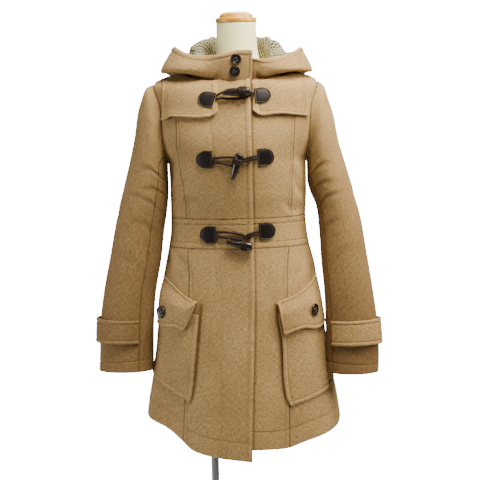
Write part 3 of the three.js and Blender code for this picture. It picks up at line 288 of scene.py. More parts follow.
def smooth(low, high, value):
    x = np.clip((np.asarray(value, float) - low) / (high - low), 0, 1)
    return x * x * (3 - 2 * x)


def lerp(start, end, t):
    return start + (end - start) * t


BODY = table(
    "level right left front back square tip",
    (490, 226, 226, 190, 184, 2.0, 0),
    (560, 221, 222, 184, 178, 2.0, 0),
    (610, 216, 216, 178, 173, 2.0, 0),
    (672, 205, 205, 169, 166, 2.0, 0),
    (737, 194, 191, 158, 156, 2.05, 0),
    (800, 188, 183, 147, 147, 2.1, 0),
    (865, 182, 173, 136, 137, 2.15, 0),
    (927, 171, 164, 124, 122, 2.2, 0),
    (976, 161, 153, 115, 107, 2.25, 0),
    (1009, 156, 148, 112, 101, 2.3, 0),
    (1042, 155, 146, 113, 100, 2.3, 0),
    (1100, 155, 149, 121, 104, 2.3, 0),
    (1163, 157, 149, 125, 109, 2.3, 0),
    (1190, 168, 157, 124, 111, 2.4, 0),
    (1216, 179, 166, 121, 112, 2.5, 0),
    (1257, 184, 173, 112, 112, 2.6, 0.02),
    (1300, 186, 176, 101, 109, 2.6, 0.07),
    (1326, 188, 178, 94, 104, 2.5, 0.13),
    (1337, 186, 177, 90, 101, 2.4, 0.16),
    (1352, 143, 139, 84, 92, 2.2, 0.22),
    (1366, 76, 76, 76, 76, 2.0, 0.29),
)
FLUTES = table(
    "turn out width",
    (-108, 5, 17),
    (-72, 6, 13),
    (-47, -5, 10),
    (-20, 4, 15),
    (24, -5, 12),
    (52, 5, 13),
    (84, -4, 12),
    (118, 5, 18),
    (150, -5, 14),
    (180, 6, 16),
    (-150, -4, 15),
)
FLUTE_TOP = 900
FLUTE_FOOT = 560


def side_of(turn):
    return np.sin(turn) < 0


def by_side(turn, level, rows=BODY, names=("right", "left")):
    """The half width on the side that a turn is on."""
    return np.where(side_of(turn), read(rows, names[0], level), read(rows, names[1], level))


def turn_gap(one, other):
    gap = np.abs(one - other) % 360
    return np.minimum(gap, 360 - gap)


def oval(turn, level):
    """A point of the body's smooth section at a turn from the front and at a level."""
    power = 2 / read(BODY, "square", level)
    depth = np.where(np.cos(turn) > 0, read(BODY, "front", level), read(BODY, "back", level))
    x = by_side(turn, level) * np.sign(np.sin(turn)) * np.abs(np.sin(turn)) ** power
    y = -depth * np.sign(np.cos(turn)) * np.abs(np.cos(turn)) ** power
    return x, y


def fluted(turn, level):
    out = 0
    angle = np.degrees(turn)
    for flute_turn, amount, width in zip(*FLUTES.values()):
        out = out + amount * np.exp(-((turn_gap(angle, flute_turn) / width) ** 2))
    return out * (1 - smooth(FLUTE_FOOT, FLUTE_TOP, level))


def raised(x, y, out, level):
    """The section's point moved out, at its own height."""
    grow = 1 + out / np.hypot(x, y)
    return np.stack([x * grow, y * grow, level + read(BODY, "tip", level) * y], -1)


def plain_body(turn, level):
    turn, level = np.broadcast_arrays(np.asarray(turn, float), np.asarray(level, float))
    x, y = oval(turn, level)
    return raised(x, y, fluted(turn, level), level)


def facing(at, s, t, ds, dt):
    """The outward direction of a surface, from its neighbours."""
    along_s = at(s + ds, t) - at(s - ds, t)
    along_t = at(s, t + dt) - at(s, t - dt)
    out = np.cross(along_s, along_t)
    return out / np.maximum(np.linalg.norm(out, axis=-1, keepdims=True), 1e-9)


WALL = 2.6
FORM_INSET = table(
    "level inset", (780, 16), (1000, 11), (1200, 8), (1300, 5), (1337, WALL / 2 + 2.3), (1366, WALL / 2 + 2.3)
)
FORM_BACK_INSET = 4.4
NECK = table(
    "height radius tip",
    (1365, 70, 0.29),
    (1374, 59, 0.26),
    (1387, 51, 0.16),
    (1405, 46.8, 0.06),
    (1432, 45, 0),
    (1471, 44.3, 0),
)
FORM_POINTS = 120
form_turn = np.linspace(0, 2 * np.pi, FORM_POINTS, endpoint=False)
form_rings = []
for level in np.concatenate([np.linspace(780, 1163, 16), np.linspace(1175, 1361, 24)]):
    there = np.full(FORM_POINTS, level)
    out = facing(plain_body, form_turn, there, 0.03, 3.0)
    behind = np.maximum(0, -np.cos(form_turn)) ** 0.5 * smooth(1257, 1337, level)
    ring = plain_body(form_turn, there) - out * (read(FORM_INSET, "inset", there) + FORM_BACK_INSET * behind)[:, None]
    if level == 780:
        ring[:, 2] = 780
    form_rings.append(ring)
for height in np.linspace(1366, 1471, 22):
    radius = read(NECK, "radius", height)
    y = -radius * np.cos(form_turn)
    form_rings.append(
        np.stack([radius * np.sin(form_turn), y, height + read(NECK, "tip", height) * y], 1)
    )
ends = [form_rings[0].mean(0), form_rings[-1].mean(0)]
jersey = Finish("cream_jersey", Roughness=0.85, Sheen_Weight=0.25, Sheen_Roughness=0.5)
jersey_rows = jersey.stretch(jersey.place(), (1.0, 1.0, 3.0))
jersey.color(
    jersey.blend(jersey.noise(jersey.place(), 14.0, 3.0), rgb(254, 244, 176), rgb(255, 252, 196))
)
jersey.bump(jersey.noise(jersey_rows, 900.0, 2.0), 0.0004, 0.3)
dress_form = mesh_piece(
    "dress_form",
    np.concatenate(form_rings + [ends]),
    ring_faces(len(form_rings), FORM_POINTS),
    jersey,
)
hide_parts("form_torso")

# The neck is closed by a turned wooden cap with a step, varnished a clear golden brown. Its
# rings show as fine lines round it.
wood = Finish("golden_wood", Roughness=0.33, Coat_Weight=0.4, Coat_Roughness=0.2)
wood_place = wood.stretch(wood.place(), (6.0, 34.0, 40.0))
wood_grain = wood.noise(wood_place, 6.0, 5.0, 0.6)
wood.color(
    wood.node(
        "ValToRGB",
        {"stops": [(0.3, rgb(150, 98, 14)), (0.52, rgb(210, 150, 24)), (0.72, rgb(232, 184, 44))]},
        Fac=wood_grain,
    )
)
wood.bump(wood_grain, 0.0004, 0.3)
CAP_FOOT = 1471.5
CAP = [
    (0, 0), (45.4, 0), (45.8, 4), (45.4, 8.6), (43.8, 10.4), (38.6, 10.8), (37.6, 12), (37.4, 15.5),
    (32, 20.4), (19, 23.8), (0, 24.6),
]
neck_cap = turned("neck_cap", CAP, wood, 96, (np.array([0, 0, CAP_FOOT]), np.eye(3)))
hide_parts("form_neck_cap")


# The coat's body is cut from camel melton wool, 2.6 mm thick: fronts and backs between
# princess seams, a waist band, and a flared skirt. Seams are pressed open and topstitched.
SEAM_GAP = -0.1
LAP_LIFT = WALL + 0.8
SKIRT_FOOT = 500
BAND_BOTTOM = 976
BAND_TOP = 1042
ARMPIT = 1163
SHOULDER_TIP = 1337
SHOULDER_PRINCESS = 1354
NECK_LEVEL = 1366
ARMHOLE_FRONT = 62
ARMHOLE_BACK = 68
MILLIMETRES_PER_DEGREE = 2.6
HEM = table(
    "turn height",
    (-180, 600),
    (-120, 600),
    (-88, 595),
    (-58, 583),
    (-40, 557),
    (-30, 537),
    (-16, 526),
    (5, 515),
)
HEM_LEFT = table(
    "turn height",
    (-10, 543),
    (6, 541),
    (23, 539),
    (38, 551),
    (58, 562),
    (88, 571),
    (120, 590),
    (180, 600),
)
PRINCESS = table(
    "level right left",
    (500, 138, 100),
    (638, 134, 103),
    (873, 117, 99),
    (968, 116, 104),
    (1050, 118, 112),
    (1094, 121, 113),
    (1165, 130, 117),
    (1213, 135, 120),
    (1260, 135, 123),
    (1366, 135, 128),
)
BACK_PRINCESS = table("level width", (500, 96), (873, 82), (1009, 66), (1165, 78), (1337, 112))

# Folds of the body, as strokes on the unrolled cloth: where they start and end (turn in degrees,
# level), half width and depth in millimetres.
FOLDS = table(
    "turn0 level0 turn1 level1 width depth",
    (-62, 1050, -30, 1085, 9, 2.2),
    (-70, 1075, -44, 1130, 11, 2.6),
    (-78, 1120, -52, 1190, 13, 2.4),
    (66, 1056, 34, 1078, 9, 2.0),
    (74, 1085, 46, 1140, 12, 2.6),
    (70, 1150, 48, 1215, 13, 2.0),
    (-60, 962, -38, 905, 10, 2.4),
    (-82, 970, -66, 880, 12, 2.6),
    (58, 965, 40, 900, 10, 2.2),
    (80, 970, 66, 890, 12, 2.4),
    (-14, 930, -10, 700, 22, 2.6),
    (18, 900, 20, 640, 20, 2.4),
    (-32, 820, -34, 620, 18, 2.2),
    (100, 1060, 128, 1110, 12, 2.4),
    (-100, 1060, -126, 1112, 12, 2.4),
    (150, 1052, 176, 1082, 11, 2.2),
    (-152, 1054, -176, 1090, 11, 2.0),
    (104, 966, 126, 890, 14, 2.6),
    (-108, 966, -128, 886, 14, 2.4),
    (140, 940, 146, 720, 24, 3.0),
    (-140, 950, -150, 700, 24, 3.0),
    (176, 950, 172, 720, 22, 2.4),
    (122, 1140, 150, 1225, 16, 2.0),
    (-122, 1140, -150, 1230, 16, 2.0),
)


def strokes(rows, u, v):
    """How far the cloth moves out where troughs cross it, each with a low ridge beside it."""
    out = 0
    for u0, v0, u1, v1, width, depth in zip(*rows.values()):
        du, dv = u1 - u0, v1 - v0
        length = math.hypot(du, dv)
        along = ((u - u0) * du + (v - v0) * dv) / length**2
        side = ((v - v0) * du - (u - u0) * dv) / length
        bend = 0.12 * length * np.sin(np.pi * np.clip(along, 0, 1)) ** 2
        fade = smooth(-0.15, 0.3, along) * (1 - smooth(0.6, 1.15, along))
        trough = np.exp(-(((side - bend) / width) ** 2))
        ridge = np.exp(-(((side - bend - 1.7 * width) / (1.1 * width)) ** 2))
        out = out + depth * fade * (0.55 * ridge - trough)
    return out


FOLDS["turn0"] *= MILLIMETRES_PER_DEGREE
FOLDS["turn1"] *= MILLIMETRES_PER_DEGREE


def body_at(turn, level):
    """A point of the middle of the body's cloth, with its folds."""
    turn, level = np.broadcast_arrays(np.asarray(turn, float), np.asarray(level, float))
    x, y = oval(turn, level)
    angle = (np.degrees(turn) + 180) % 360 - 180
    folds = strokes(FOLDS, angle * MILLIMETRES_PER_DEGREE, level)
    quiet = 1 - smooth(1215, 1290, level)
    return raised(x, y, fluted(turn, level) + folds * quiet, level)


def turn_at_width(width, level):
    square = read(BODY, "square", level)
    half = np.where(np.asarray(width) < 0, read(BODY, "right", level), read(BODY, "left", level))
    ratio = np.minimum(np.abs(width) / half, 1)
    return np.sign(width) * np.arcsin(ratio ** (square / 2))


def turn_at_depth(depth, level, face):
    ratio = np.minimum(depth / read(BODY, face, level), 1)
    return np.arccos(ratio ** (read(BODY, "square", level) / 2))


def lap_lift(x):
    return LAP_LIFT * smooth(-62, -36, x)


def lap_edge(level):
    return lerp(15, 28, smooth(500, 900, level))


def princess_turn(level, side):
    sign = -1 if side == "right" else 1
    low = np.minimum(level, SHOULDER_TIP)
    turn = np.abs(turn_at_width(sign * read(PRINCESS, side, low), low))
    return sign * lerp(turn, np.pi / 2, smooth(SHOULDER_TIP, SHOULDER_PRINCESS, level))


def back_princess_turn(level, side):
    sign = -1 if side == "right" else 1
    low = np.minimum(level, SHOULDER_TIP)
    turn = np.abs(turn_at_width(sign * read(BACK_PRINCESS, "width", low), low))
    return sign * (np.pi - lerp(turn, np.pi / 2, smooth(SHOULDER_TIP, SHOULDER_PRINCESS, level)))


def side_turn(level, side, face):
    sign = -1 if side == "right" else 1
    cosine = np.clip(2 * (level - ARMPIT) / (SHOULDER_TIP - ARMPIT) - 1, -1, 1)
    reach = ARMHOLE_FRONT if face == "front" else ARMHOLE_BACK
    turn = turn_at_depth(reach * np.sqrt(1 - cosine**2), level, face)
    return sign * (turn if face == "front" else np.pi - turn)


def hem_height(turn, side):
    return read(HEM if side == "right" else HEM_LEFT, "height", np.degrees(turn))


def panel(start, end, low, high, hem=None):
    """A panel of the body between two seams, from one level to another."""

    def surface(s, t):
        nominal = lerp(low, high, t)
        first, last = start(nominal), end(nominal)
        inset = np.minimum(SEAM_GAP / 2 / 130, np.abs(last - first) / 2)
        way = np.sign(last - first)
        turn = lerp(first + way * inset, last - way * inset, s)
        level = nominal if hem is None else lerp(hem(turn), high, t)
        return body_at(turn, level)

    return surface


EDGE_LINES = (0.0, 0.35, 1.0, 2.2, 4.6)
MARK_LINES = (-3.2, -1.6, -0.6, 0.0, 0.6, 1.6, 3.2)
ROUNDING = 2.2
GROOVE = 1.0
GROOVE_WIDTH = 1.4
ROLL = 0.9
SEAM_SHARE = 0.3
ROLL_REACH = 16


def lines_near(marks):
    """Distances from an edge at which the grid has lines: at the edge and at each stitching."""
    lines = set(EDGE_LINES) | {m + d for m in marks for d in MARK_LINES}
    kept = [0.0]
    for line in sorted(lines):
        if line - kept[-1] > 0.3:
            kept.append(line)
    return np.array(kept)


def places(first, last, total, count):
    """Where the grid lines of one direction lie, for each length in total: they keep their
    distance from the nearer edge, and the rest is spread evenly."""
    total = np.maximum(total, 1e-3)
    shrink = np.minimum(1, 0.85 * total / (first[-1] + last[-1]))
    start = (shrink / total)[:, None] * first
    end = 1 - (shrink / total)[:, None] * last[::-1]
    between = np.linspace(0, 1, count + 1)[1:-1]
    middle = start[:, -1:] + (end[:, :1] - start[:, -1:]) * between
    return np.concatenate([start, middle, end], 1), shrink


def lengths(surface):
    """The width of a surface at each t and its height at each s, on a rough grid."""
    s, t = np.meshgrid(np.linspace(0, 1, 25), np.linspace(0, 1, 25))
    points = surface(s, t)
    width = np.linalg.norm(np.diff(points, axis=1), axis=-1).sum(1)
    height = np.linalg.norm(np.diff(points, axis=0), axis=-1).sum(0)
    return width, height


def grid_faces(rows, columns):
    """Faces of a closed wall: an outer grid, an inner grid and the rim between them."""
    layer = rows * columns
    index = np.arange(layer).reshape(rows, columns)
    a, b, c, d = index[:-1, :-1], index[:-1, 1:], index[1:, 1:], index[1:, :-1]
    outer = np.stack([a, b, c, d], -1).reshape(-1, 4)
    inner = np.stack([a, d, c, b], -1).reshape(-1, 4) + layer
    rim = []
    for line, flip in ((index[0], False), (index[-1], True), (index[:, 0], True), (index[:, -1], False)):
        one, two = line[:-1], line[1:]
        if flip:
            one, two = two, one
        rim.append(np.stack([one, one + layer, two + layer, two], -1))
    return np.concatenate([outer, inner, *rim]).tolist()


def cloth(
    name, node, surface, finish, wall=WALL, middle=0.0, lift=None, near=(), far=(), low=(), high=(),
    step=5.0, slot="wool", held="hung", rests_on=("dress_form",), seams="", folds="",
    shade=None,
):
    """A sheet of cloth over a surface of s and t: a wall with rounded edges, topstitched at
    the given distances from its edges. Seams names the edges that are sewn to a neighbour, and
    folds those that are turned under and pressed: l and r for the first and last s, b and t for
    low and high; both get a line of painted shade. Shade gives a mask of painted shade, for lines beside edges that
    stand off the sheet."""
    width, height = lengths(surface)
    rough = np.linspace(0, 1, 25)
    s_ends, t_ends = (lines_near(near), lines_near(far)), (lines_near(low), lines_near(high))
    columns = max(2, math.ceil((width.max() - s_ends[0][-1] - s_ends[1][-1]) / step))
    rows = max(2, math.ceil((height.max() - t_ends[0][-1] - t_ends[1][-1]) / step))
    t_even = places(*t_ends, np.array([height.mean()]), rows)[0][0]
    s_even = places(*s_ends, np.array([width.mean()]), columns)[0][0]
    widths = np.interp(t_even, rough, width)
    heights = np.interp(s_even, rough, height)
    s, s_shrink = places(*s_ends, widths, columns)
    t, t_shrink = places(*t_ends, heights, rows)
    t = t.T
    wide, tall = widths[:, None], heights[None, :]
    from_near, from_far = s * wide, (1 - s) * wide
    from_low, from_high = t * tall, (1 - t) * tall
    points = surface(s, t)
    h = 0.002
    out = facing(surface, np.clip(s, h, 1 - h), np.clip(t, h, 1 - h), h, h)
    edge = np.minimum(np.minimum(from_near, from_far), np.minimum(from_low, from_high))
    ease = 1 - np.clip(edge / ROUNDING, 0, 1)
    thick = wall / 2 * np.maximum(np.sqrt(1 - ease**2), 0.3)
    upright, level, roll, painted_shade = (np.zeros_like(s) for _ in range(4))
    from_near, from_far = from_near / s_shrink[:, None], from_far / s_shrink[:, None]
    from_low, from_high = from_low / t_shrink[None, :], from_high / t_shrink[None, :]
    sides = (("l", near, from_near), ("r", far, from_far), ("b", low, from_low), ("t", high, from_high))
    # Sewn seams and turned-under edges get a line of painted shade.
    for side_name, marks, distance in sides:
        if side_name in seams:
            painted_shade = np.maximum(painted_shade, np.exp(-((distance / 1.8) ** 2)))
        if side_name in folds:
            painted_shade = np.maximum(painted_shade, 1 - smooth(0.4, 1.4, distance))
        share = SEAM_SHARE if side_name in seams else 1
        for mark in marks:
            line = np.exp(-(((distance - mark) / GROOVE_WIDTH) ** 2)) * (0.5 + 0.5 * share)
            if side_name in "lr":
                upright = np.maximum(upright, line)
            else:
                level = np.maximum(level, line)
            if mark < ROLL_REACH:
                roll = np.maximum(roll, share * np.sin(np.pi * np.clip(distance / mark, 0, 1)))
    # Painted shade beside edges that stand off the sheet, where the shade mask says.
    if shade is not None:
        painted_shade = np.maximum(painted_shade, shade(points))
    groove = GROOVE * np.maximum(upright, level)
    centre = middle + (0 if lift is None else lift(s, t, points))
    top = points + out * (centre + thick - groove + ROLL * roll)[..., None]
    under = points + out * (centre - thick)[..., None]
    layers = np.concatenate([top.reshape(-1, 3), under.reshape(-1, 3)])
    piece = mesh_piece(name, layers, grid_faces(*s.shape), finish)
    corner = np.zeros(len(piece.data.loops), np.int32)
    piece.data.loops.foreach_get("vertex_index", corner)
    # The edge layer carries the painted shade and the rolled edges to the finish.
    for layer, pair in (
        ("cloth", (s * width.mean() * 0.001, t * height.mean() * 0.001)),
        ("stitch", (upright, level)),
        ("edge", (painted_shade, roll)),
    ):
        flat = np.stack([np.tile(p.ravel(), 2) for p in pair], 1)
        piece.data.uv_layers.new(name=layer).uv.foreach_set("vector", flat[corner].astype(np.float32).ravel())
    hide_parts(node)
    a, b, c = points[:-1, :-1], points[:-1, 1:], points[1:, :-1]
    area = float(np.linalg.norm(np.cross(b - a, c - a), axis=-1).sum()) * 1e-6
    return piece


def wool_finish(name, light, dark, dark_tone_and_shade, wear_and_highlight, painted_low_shade=0.0):
    """Camel melton: a felted weave with a short nap, flecked lighter and darker. Painted shade darkens
    it in its seams, turned edges and stitch lines, and its rolled edges are a little paler, from wear
    and a painted highlight. The last argument is how much painted shade darkens the piece towards its lower end."""
    wool = Finish(
        name, Roughness=0.95, Sheen_Weight=0.1, Sheen_Roughness=0.5, Sheen_Tint=rgb(224, 190, 126),
        Specular_IOR_Level=0.15,
    )
    along = wool.node("UVMap", {"uv_map": "cloth"})
    place = wool.place()
    weft = wool.noise(wool.stretch(along, (120.0, 900.0, 1.0)), 1.0, 2.0, 0.6)
    warp = wool.noise(wool.stretch(along, (900.0, 140.0, 1.0)), 1.0, 2.0, 0.6)
    fleck = wool.noise(place, 900.0, 2.0, 0.6)
    cloud = wool.noise(place, 9.0, 3.0, 0.5)
    mix = weft * 0.46 + warp * 0.42 + fleck * 0.12
    spread = wool.node("MapRange", Value=mix, From_Min=0.38, From_Max=0.62)
    base = wool.blend(spread, dark, light)
    base = wool.blend(wool.node("MapRange", Value=cloud, From_Min=0.3, From_Max=0.7) * 0.3, base, dark_tone_and_shade)
    # Painted shade: the piece darkens towards its lower end.
    if painted_low_shade:
        low = wool.node("MapRange", Value=wool.part(along, 1), From_Min=0.52, From_Max=0.08)
        base = wool.blend(low * painted_low_shade, base, dark_tone_and_shade)
    marks = wool.node("UVMap", {"uv_map": "stitch"})
    edge = wool.node("UVMap", {"uv_map": "edge"})
    upright, level = wool.part(marks, 0), wool.part(marks, 1)
    seam, roll = wool.part(edge, 0), wool.part(edge, 1)
    dash_up = wool.period(wool.part(along, 1), 240.0) < 0.7
    dash_across = wool.period(wool.part(along, 0), 240.0) < 0.7
    stitch = wool.larger(upright * dash_up, level * dash_across)
    thread = wool.node("MapRange", Value=stitch, From_Min=0.6, From_Max=0.97)
    # Painted shade in the stitch grooves, the seams, the turned edges and beside standing edges.
    hollow = wool.larger(wool.larger(upright, level) * 0.35, seam * 0.65)
    # The rolled edges are a little paler: partly wear, partly painted highlight.
    base = wool.blend(roll * 0.1, base, wear_and_highlight)
    base = wool.blend(hollow, base, dark_tone_and_shade)
    wool.color(wool.blend(thread * 0.55, base, light))
    wool.bump(mix + thread * 0.2, 0.0016, 0.6)
    return wool


# The wool's light and dark tones, a deep tone for its clouding and for painted shade, and a pale tone for its rolled
# edges, from wear and painted highlight.
MELTON_COLORS = (rgb(205, 171, 114), rgb(118, 88, 53), rgb(90, 62, 36), rgb(211, 181, 129))
melton = wool_finish("camel_melton", *MELTON_COLORS)
bodice = BAND_TOP + SEAM_GAP / 2
TOPSTITCH = 11
PLACKET = 67


LAP_FLARE = 3.4


def lapped(s, t, points):
    """The right front's rise over the left one; its free edge stands off a little more."""
    flare = LAP_FLARE * smooth(0.88, 1, s) * (0.7 + 0.5 * np.sin(points[..., 2] / 47.0))
    return lap_lift(points[..., 0]) + flare


# The width of the painted shade lines beside the lap's and the pockets' edges.
SHADE_LINE_WIDTH = 3.7


def beside_lap(points, past=0.0):
    """A narrow line of painted shade on the left front, beside where the lap's edge lies on it."""
    return np.exp(-(((points[..., 0] - lap_edge(points[..., 2]) - past - 1.4) / SHADE_LINE_WIDTH) ** 4))


right_lap = lambda level: turn_at_width(lap_edge(level), level)
left_lap = lambda level: turn_at_width(-22, level)
right_seam = lambda level: princess_turn(level, "right")
left_seam = lambda level: princess_turn(level, "left")
cloth(
    "bodice_front_right_cloth", "bodice_front_right",
    panel(right_seam, right_lap, bodice, NECK_LEVEL), melton, lift=lapped,
    near=(10,), far=(TOPSTITCH, PLACKET), seams="lbt", folds="r",
)
cloth(
    "bodice_front_left_cloth", "bodice_front_left",
    panel(left_lap, left_seam, bodice, NECK_LEVEL), melton, far=(10,), seams="rbt",
    shade=beside_lap, step=3.0,
)
for side in ("right", "left"):
    front = [lambda level, k=side: princess_turn(level, k), lambda level, k=side: side_turn(level, k, "front")]
    back = [lambda level, k=side: side_turn(level, k, "back"), lambda level, k=side: back_princess_turn(level, k)]
    if side == "right":
        front.reverse()
        back.reverse()
    top = SHOULDER_PRINCESS - SEAM_GAP
    cloth(f"bodice_side_front_{side}_cloth", f"bodice_side_front_{side}", panel(*front, bodice, top), melton, seams="lrbt")
    cloth(f"bodice_side_back_{side}_cloth", f"bodice_side_back_{side}", panel(*back, bodice, top), melton, seams="lrbt")
back_left = lambda level: back_princess_turn(level, "left")
back_right = lambda level: 2 * np.pi + back_princess_turn(level, "right")
cloth(
    "bodice_back_cloth", "bodice_back", panel(back_left, back_right, bodice, NECK_LEVEL), melton,
    near=(10,), far=(10,), seams="lrbt",
)
band = (BAND_BOTTOM + SEAM_GAP / 2, BAND_TOP - SEAM_GAP / 2)
cloth(
    "waist_front_right_cloth", "waist_front_right",
    panel(lambda level: -np.pi / 2 + 0 * level, right_lap, *band), melton, lift=lapped,
    far=(TOPSTITCH, PLACKET), low=(13,), high=(13,), seams="lbt", folds="r",
)
cloth(
    "waist_front_left_cloth", "waist_front_left",
    panel(left_lap, lambda level: np.pi / 2 + 0 * level, *band), melton, low=(13,), high=(13,),
    seams="rbt", shade=beside_lap, step=3.0,
)
cloth(
    "waist_back_cloth", "waist_back",
    panel(lambda level: np.pi / 2 + 0 * level, lambda level: 1.5 * np.pi + 0 * level, *band), melton,
    low=(13,), high=(13,), seams="lrbt",
)
skirt = (SKIRT_FOOT, BAND_BOTTOM - SEAM_GAP / 2)
POCKET_EDGE = table(
    "level right left",
    (628, 136, 104),
    (636, 125, 99),
    (650, 116, 93),
    (680, 110, 88.5),
    (723, 105, 86.5),
    (767, 101, 85),
    (821, 95, 78),
    (870, 91, 74),
)
POCKET_FOOT = {"right": (643, 692), "left": (630, 668)}
POCKET_MOUTH = (832, 862)


def beside_pocket(points):
    """The skirt is in the pocket's shade in a narrow line along its standing inner edge."""
    x, y, z = points[..., 0], points[..., 1], points[..., 2]
    line = np.where(x < 0, read(POCKET_EDGE, "right", z), read(POCKET_EDGE, "left", z))
    beside = np.exp(-(((np.abs(x) - line + 2.4) / SHADE_LINE_WIDTH) ** 4))
    return beside * (y < 0) * smooth(628, 650, z) * (1 - smooth(846, 862, z))


HEM_STITCH = 40
cloth(
    "skirt_front_right_cloth", "skirt_front_right",
    panel(right_seam, right_lap, *skirt, hem=lambda turn: hem_height(turn, "right")), melton,
    lift=lapped, near=(10,), far=(TOPSTITCH, PLACKET), low=(HEM_STITCH,), seams="lt", folds="r",
    shade=beside_pocket, step=3.0,
)
cloth(
    "skirt_front_left_cloth", "skirt_front_left",
    panel(left_lap, left_seam, *skirt, hem=lambda turn: hem_height(turn, "left")), melton,
    far=(10,), low=(HEM_STITCH,), seams="rt", step=3.0,
    shade=lambda points: np.maximum(beside_lap(points), beside_pocket(points)),
)
for side in ("right", "left"):
    middle_side = lambda level, k=side: (-1 if k == "right" else 1) * np.pi / 2 + 0 * level
    front = [lambda level, k=side: princess_turn(level, k), middle_side]
    back = [middle_side, lambda level, k=side: back_princess_turn(level, k)]
    if side == "right":
        front.reverse()
        back.reverse()
    hem = lambda turn, k=side: hem_height(turn, k)
    cloth(
        f"skirt_side_front_{side}_cloth", f"skirt_side_front_{side}", panel(*front, *skirt, hem=hem),
        melton, low=(HEM_STITCH,), seams="lrt", shade=beside_pocket,
    )
    cloth(
        f"skirt_side_back_{side}_cloth", f"skirt_side_back_{side}", panel(*back, *skirt, hem=hem),
        melton, low=(HEM_STITCH,), seams="lrt",
    )
cloth(
    "skirt_back_cloth", "skirt_back",
    panel(back_left, back_right, *skirt, hem=lambda turn: 600 + 0 * turn), melton,
    near=(10,), far=(10,), low=(HEM_STITCH,), seams="lrt",
)


# The sleeves are cut in two pieces each, an upper and an under sleeve of the same wool, set
# into the armholes. They hang empty, creased at the elbow, and open at the cuff.
SLEEVE_RIGHT = table(
    "ring inX inZ outX outZ front back middle",
    (0, 161.0, 1157, 203, 1329, 66, 72, 0),
    (1, 161.2, 1147, 216, 1299, 70, 76, 0),
    (2, 161.2, 1134, 227, 1257, 70, 75, 0),
    (3, 161.2, 1116, 234, 1212, 68, 71, -1),
    (4, 161.6, 1091, 246, 1161, 65, 67, -2),
    (5, 165.0, 1058, 261, 1104, 62, 63, -4),
    (6, 173, 1010, 278, 1036, 58, 59, -7),
    (7, 182, 941, 294, 956, 54, 54, -11),
    (8, 195, 873, 310, 879, 51, 50, -16),
    (9, 201, 804, 320, 807, 48, 47, -22),
    (10, 203, 737, 323, 738, 46, 45, -29),
    (11, 203, 698, 325, 698, 46, 45, -33),
)
SLEEVE_LEFT = table(
    "ring inX inZ outX outZ front back middle",
    (0, 153.2, 1157, 190, 1329, 66, 72, 0),
    (1, 153.4, 1147, 203, 1292, 70, 76, 0),
    (2, 153.6, 1134, 214, 1255, 70, 75, -1),
    (3, 154.0, 1114, 222, 1207, 67, 70, -3),
    (4, 160.0, 1090, 237, 1154, 63, 66, -6),
    (5, 172.0, 1060, 253, 1096, 60, 61, -10),
    (6, 178, 1004, 270, 1028, 56, 57, -17),
    (7, 181, 935, 282, 948, 52, 52, -28),
    (8, 186, 866, 293, 871, 49, 47, -42),
    (9, 187, 797, 301, 799, 46, 44, -56),
    (10, 187, 728, 303, 728, 44, 42, -68),
    (11, 187, 691, 301, 690, 43, 41, -74),
)
# Copies of the melton for the sleeves, with painted shade darkening them towards the cuff, more on the left sleeve.
sleeve_melton = {
    "right": wool_finish("camel_melton_right_sleeve", *MELTON_COLORS, 0.5),
    "left": wool_finish("camel_melton_left_sleeve", *MELTON_COLORS, 0.7),
}
SLEEVE_SEAMS = {"right": (146, 119, -74), "left": (150, 143, -62)}
SLEEVE_LENGTH = 650
HEAD_OUT = 1.6
CUFF_STITCH = 28
SLEEVE_AROUND = 0.9
CREASE_SHARE = 0.5

# Creases of the sleeves, as strokes on the unrolled sleeve: round it from the outer side
# towards the front (degrees), along it (0 armhole, 1 cuff), half width and depth.
CREASES = {
    "right": table(
        "round0 along0 round1 along1 width depth",
        (150, 0.33, 60, 0.40, 7, 4.0),
        (158, 0.42, 75, 0.47, 7, 3.6),
        (150, 0.52, 40, 0.50, 6, 3.4),
        (140, 0.60, 62, 0.57, 7, 3.2),
        (120, 0.70, 40, 0.66, 8, 2.4),
        (95, 0.10, 70, 0.30, 10, 2.4),
        (40, 0.16, 20, 0.40, 12, 2.4),
        (-60, 0.42, -150, 0.46, 8, 3.6),
        (-40, 0.55, -140, 0.52, 8, 3.4),
        (-70, 0.20, -120, 0.36, 11, 2.6),
        (20, 0.56, -30, 0.60, 9, 2.0),
        (100, 0.90, 40, 0.96, 9, 1.6),
    ),
    "left": table(
        "round0 along0 round1 along1 width depth",
        (160, 0.30, 70, 0.37, 7, 4.0),
        (165, 0.40, 70, 0.45, 7, 3.6),
        (160, 0.50, 60, 0.49, 6, 3.4),
        (150, 0.60, 80, 0.56, 7, 3.0),
        (130, 0.68, 50, 0.64, 8, 2.4),
        (100, 0.12, 76, 0.30, 10, 2.4),
        (44, 0.14, 26, 0.38, 12, 2.4),
        (-60, 0.40, -150, 0.44, 8, 3.6),
        (-40, 0.53, -140, 0.50, 8, 3.4),
        (-70, 0.22, -120, 0.36, 11, 2.6),
        (30, 0.50, -20, 0.56, 9, 2.2),
        (110, 0.90, 40, 0.95, 9, 1.6),
    ),
}
for rows in CREASES.values():
    for column in ("round0", "round1"):
        rows[column] *= SLEEVE_AROUND
    for column in ("along0", "along1"):
        rows[column] *= SLEEVE_LENGTH


def armhole_point(around, side):
    """A point of the sleeve's head, just outside the armhole."""
    sign = -1 if side == "right" else 1
    level = lerp(ARMPIT, SHOULDER_TIP, (1 + np.cos(around)) / 2)
    ahead = np.sin(around) > 0
    front = turn_at_depth(ARMHOLE_FRONT * np.abs(np.sin(around)), level, "front")
    back = turn_at_depth(ARMHOLE_BACK * np.abs(np.sin(around)), level, "back")
    point = plain_body(sign * np.where(ahead, front, np.pi - back), level)
    away = np.stack([np.full_like(around, sign * HEAD_OUT), 0 * around, -1.4 * np.cos(around)], -1)
    return point + away


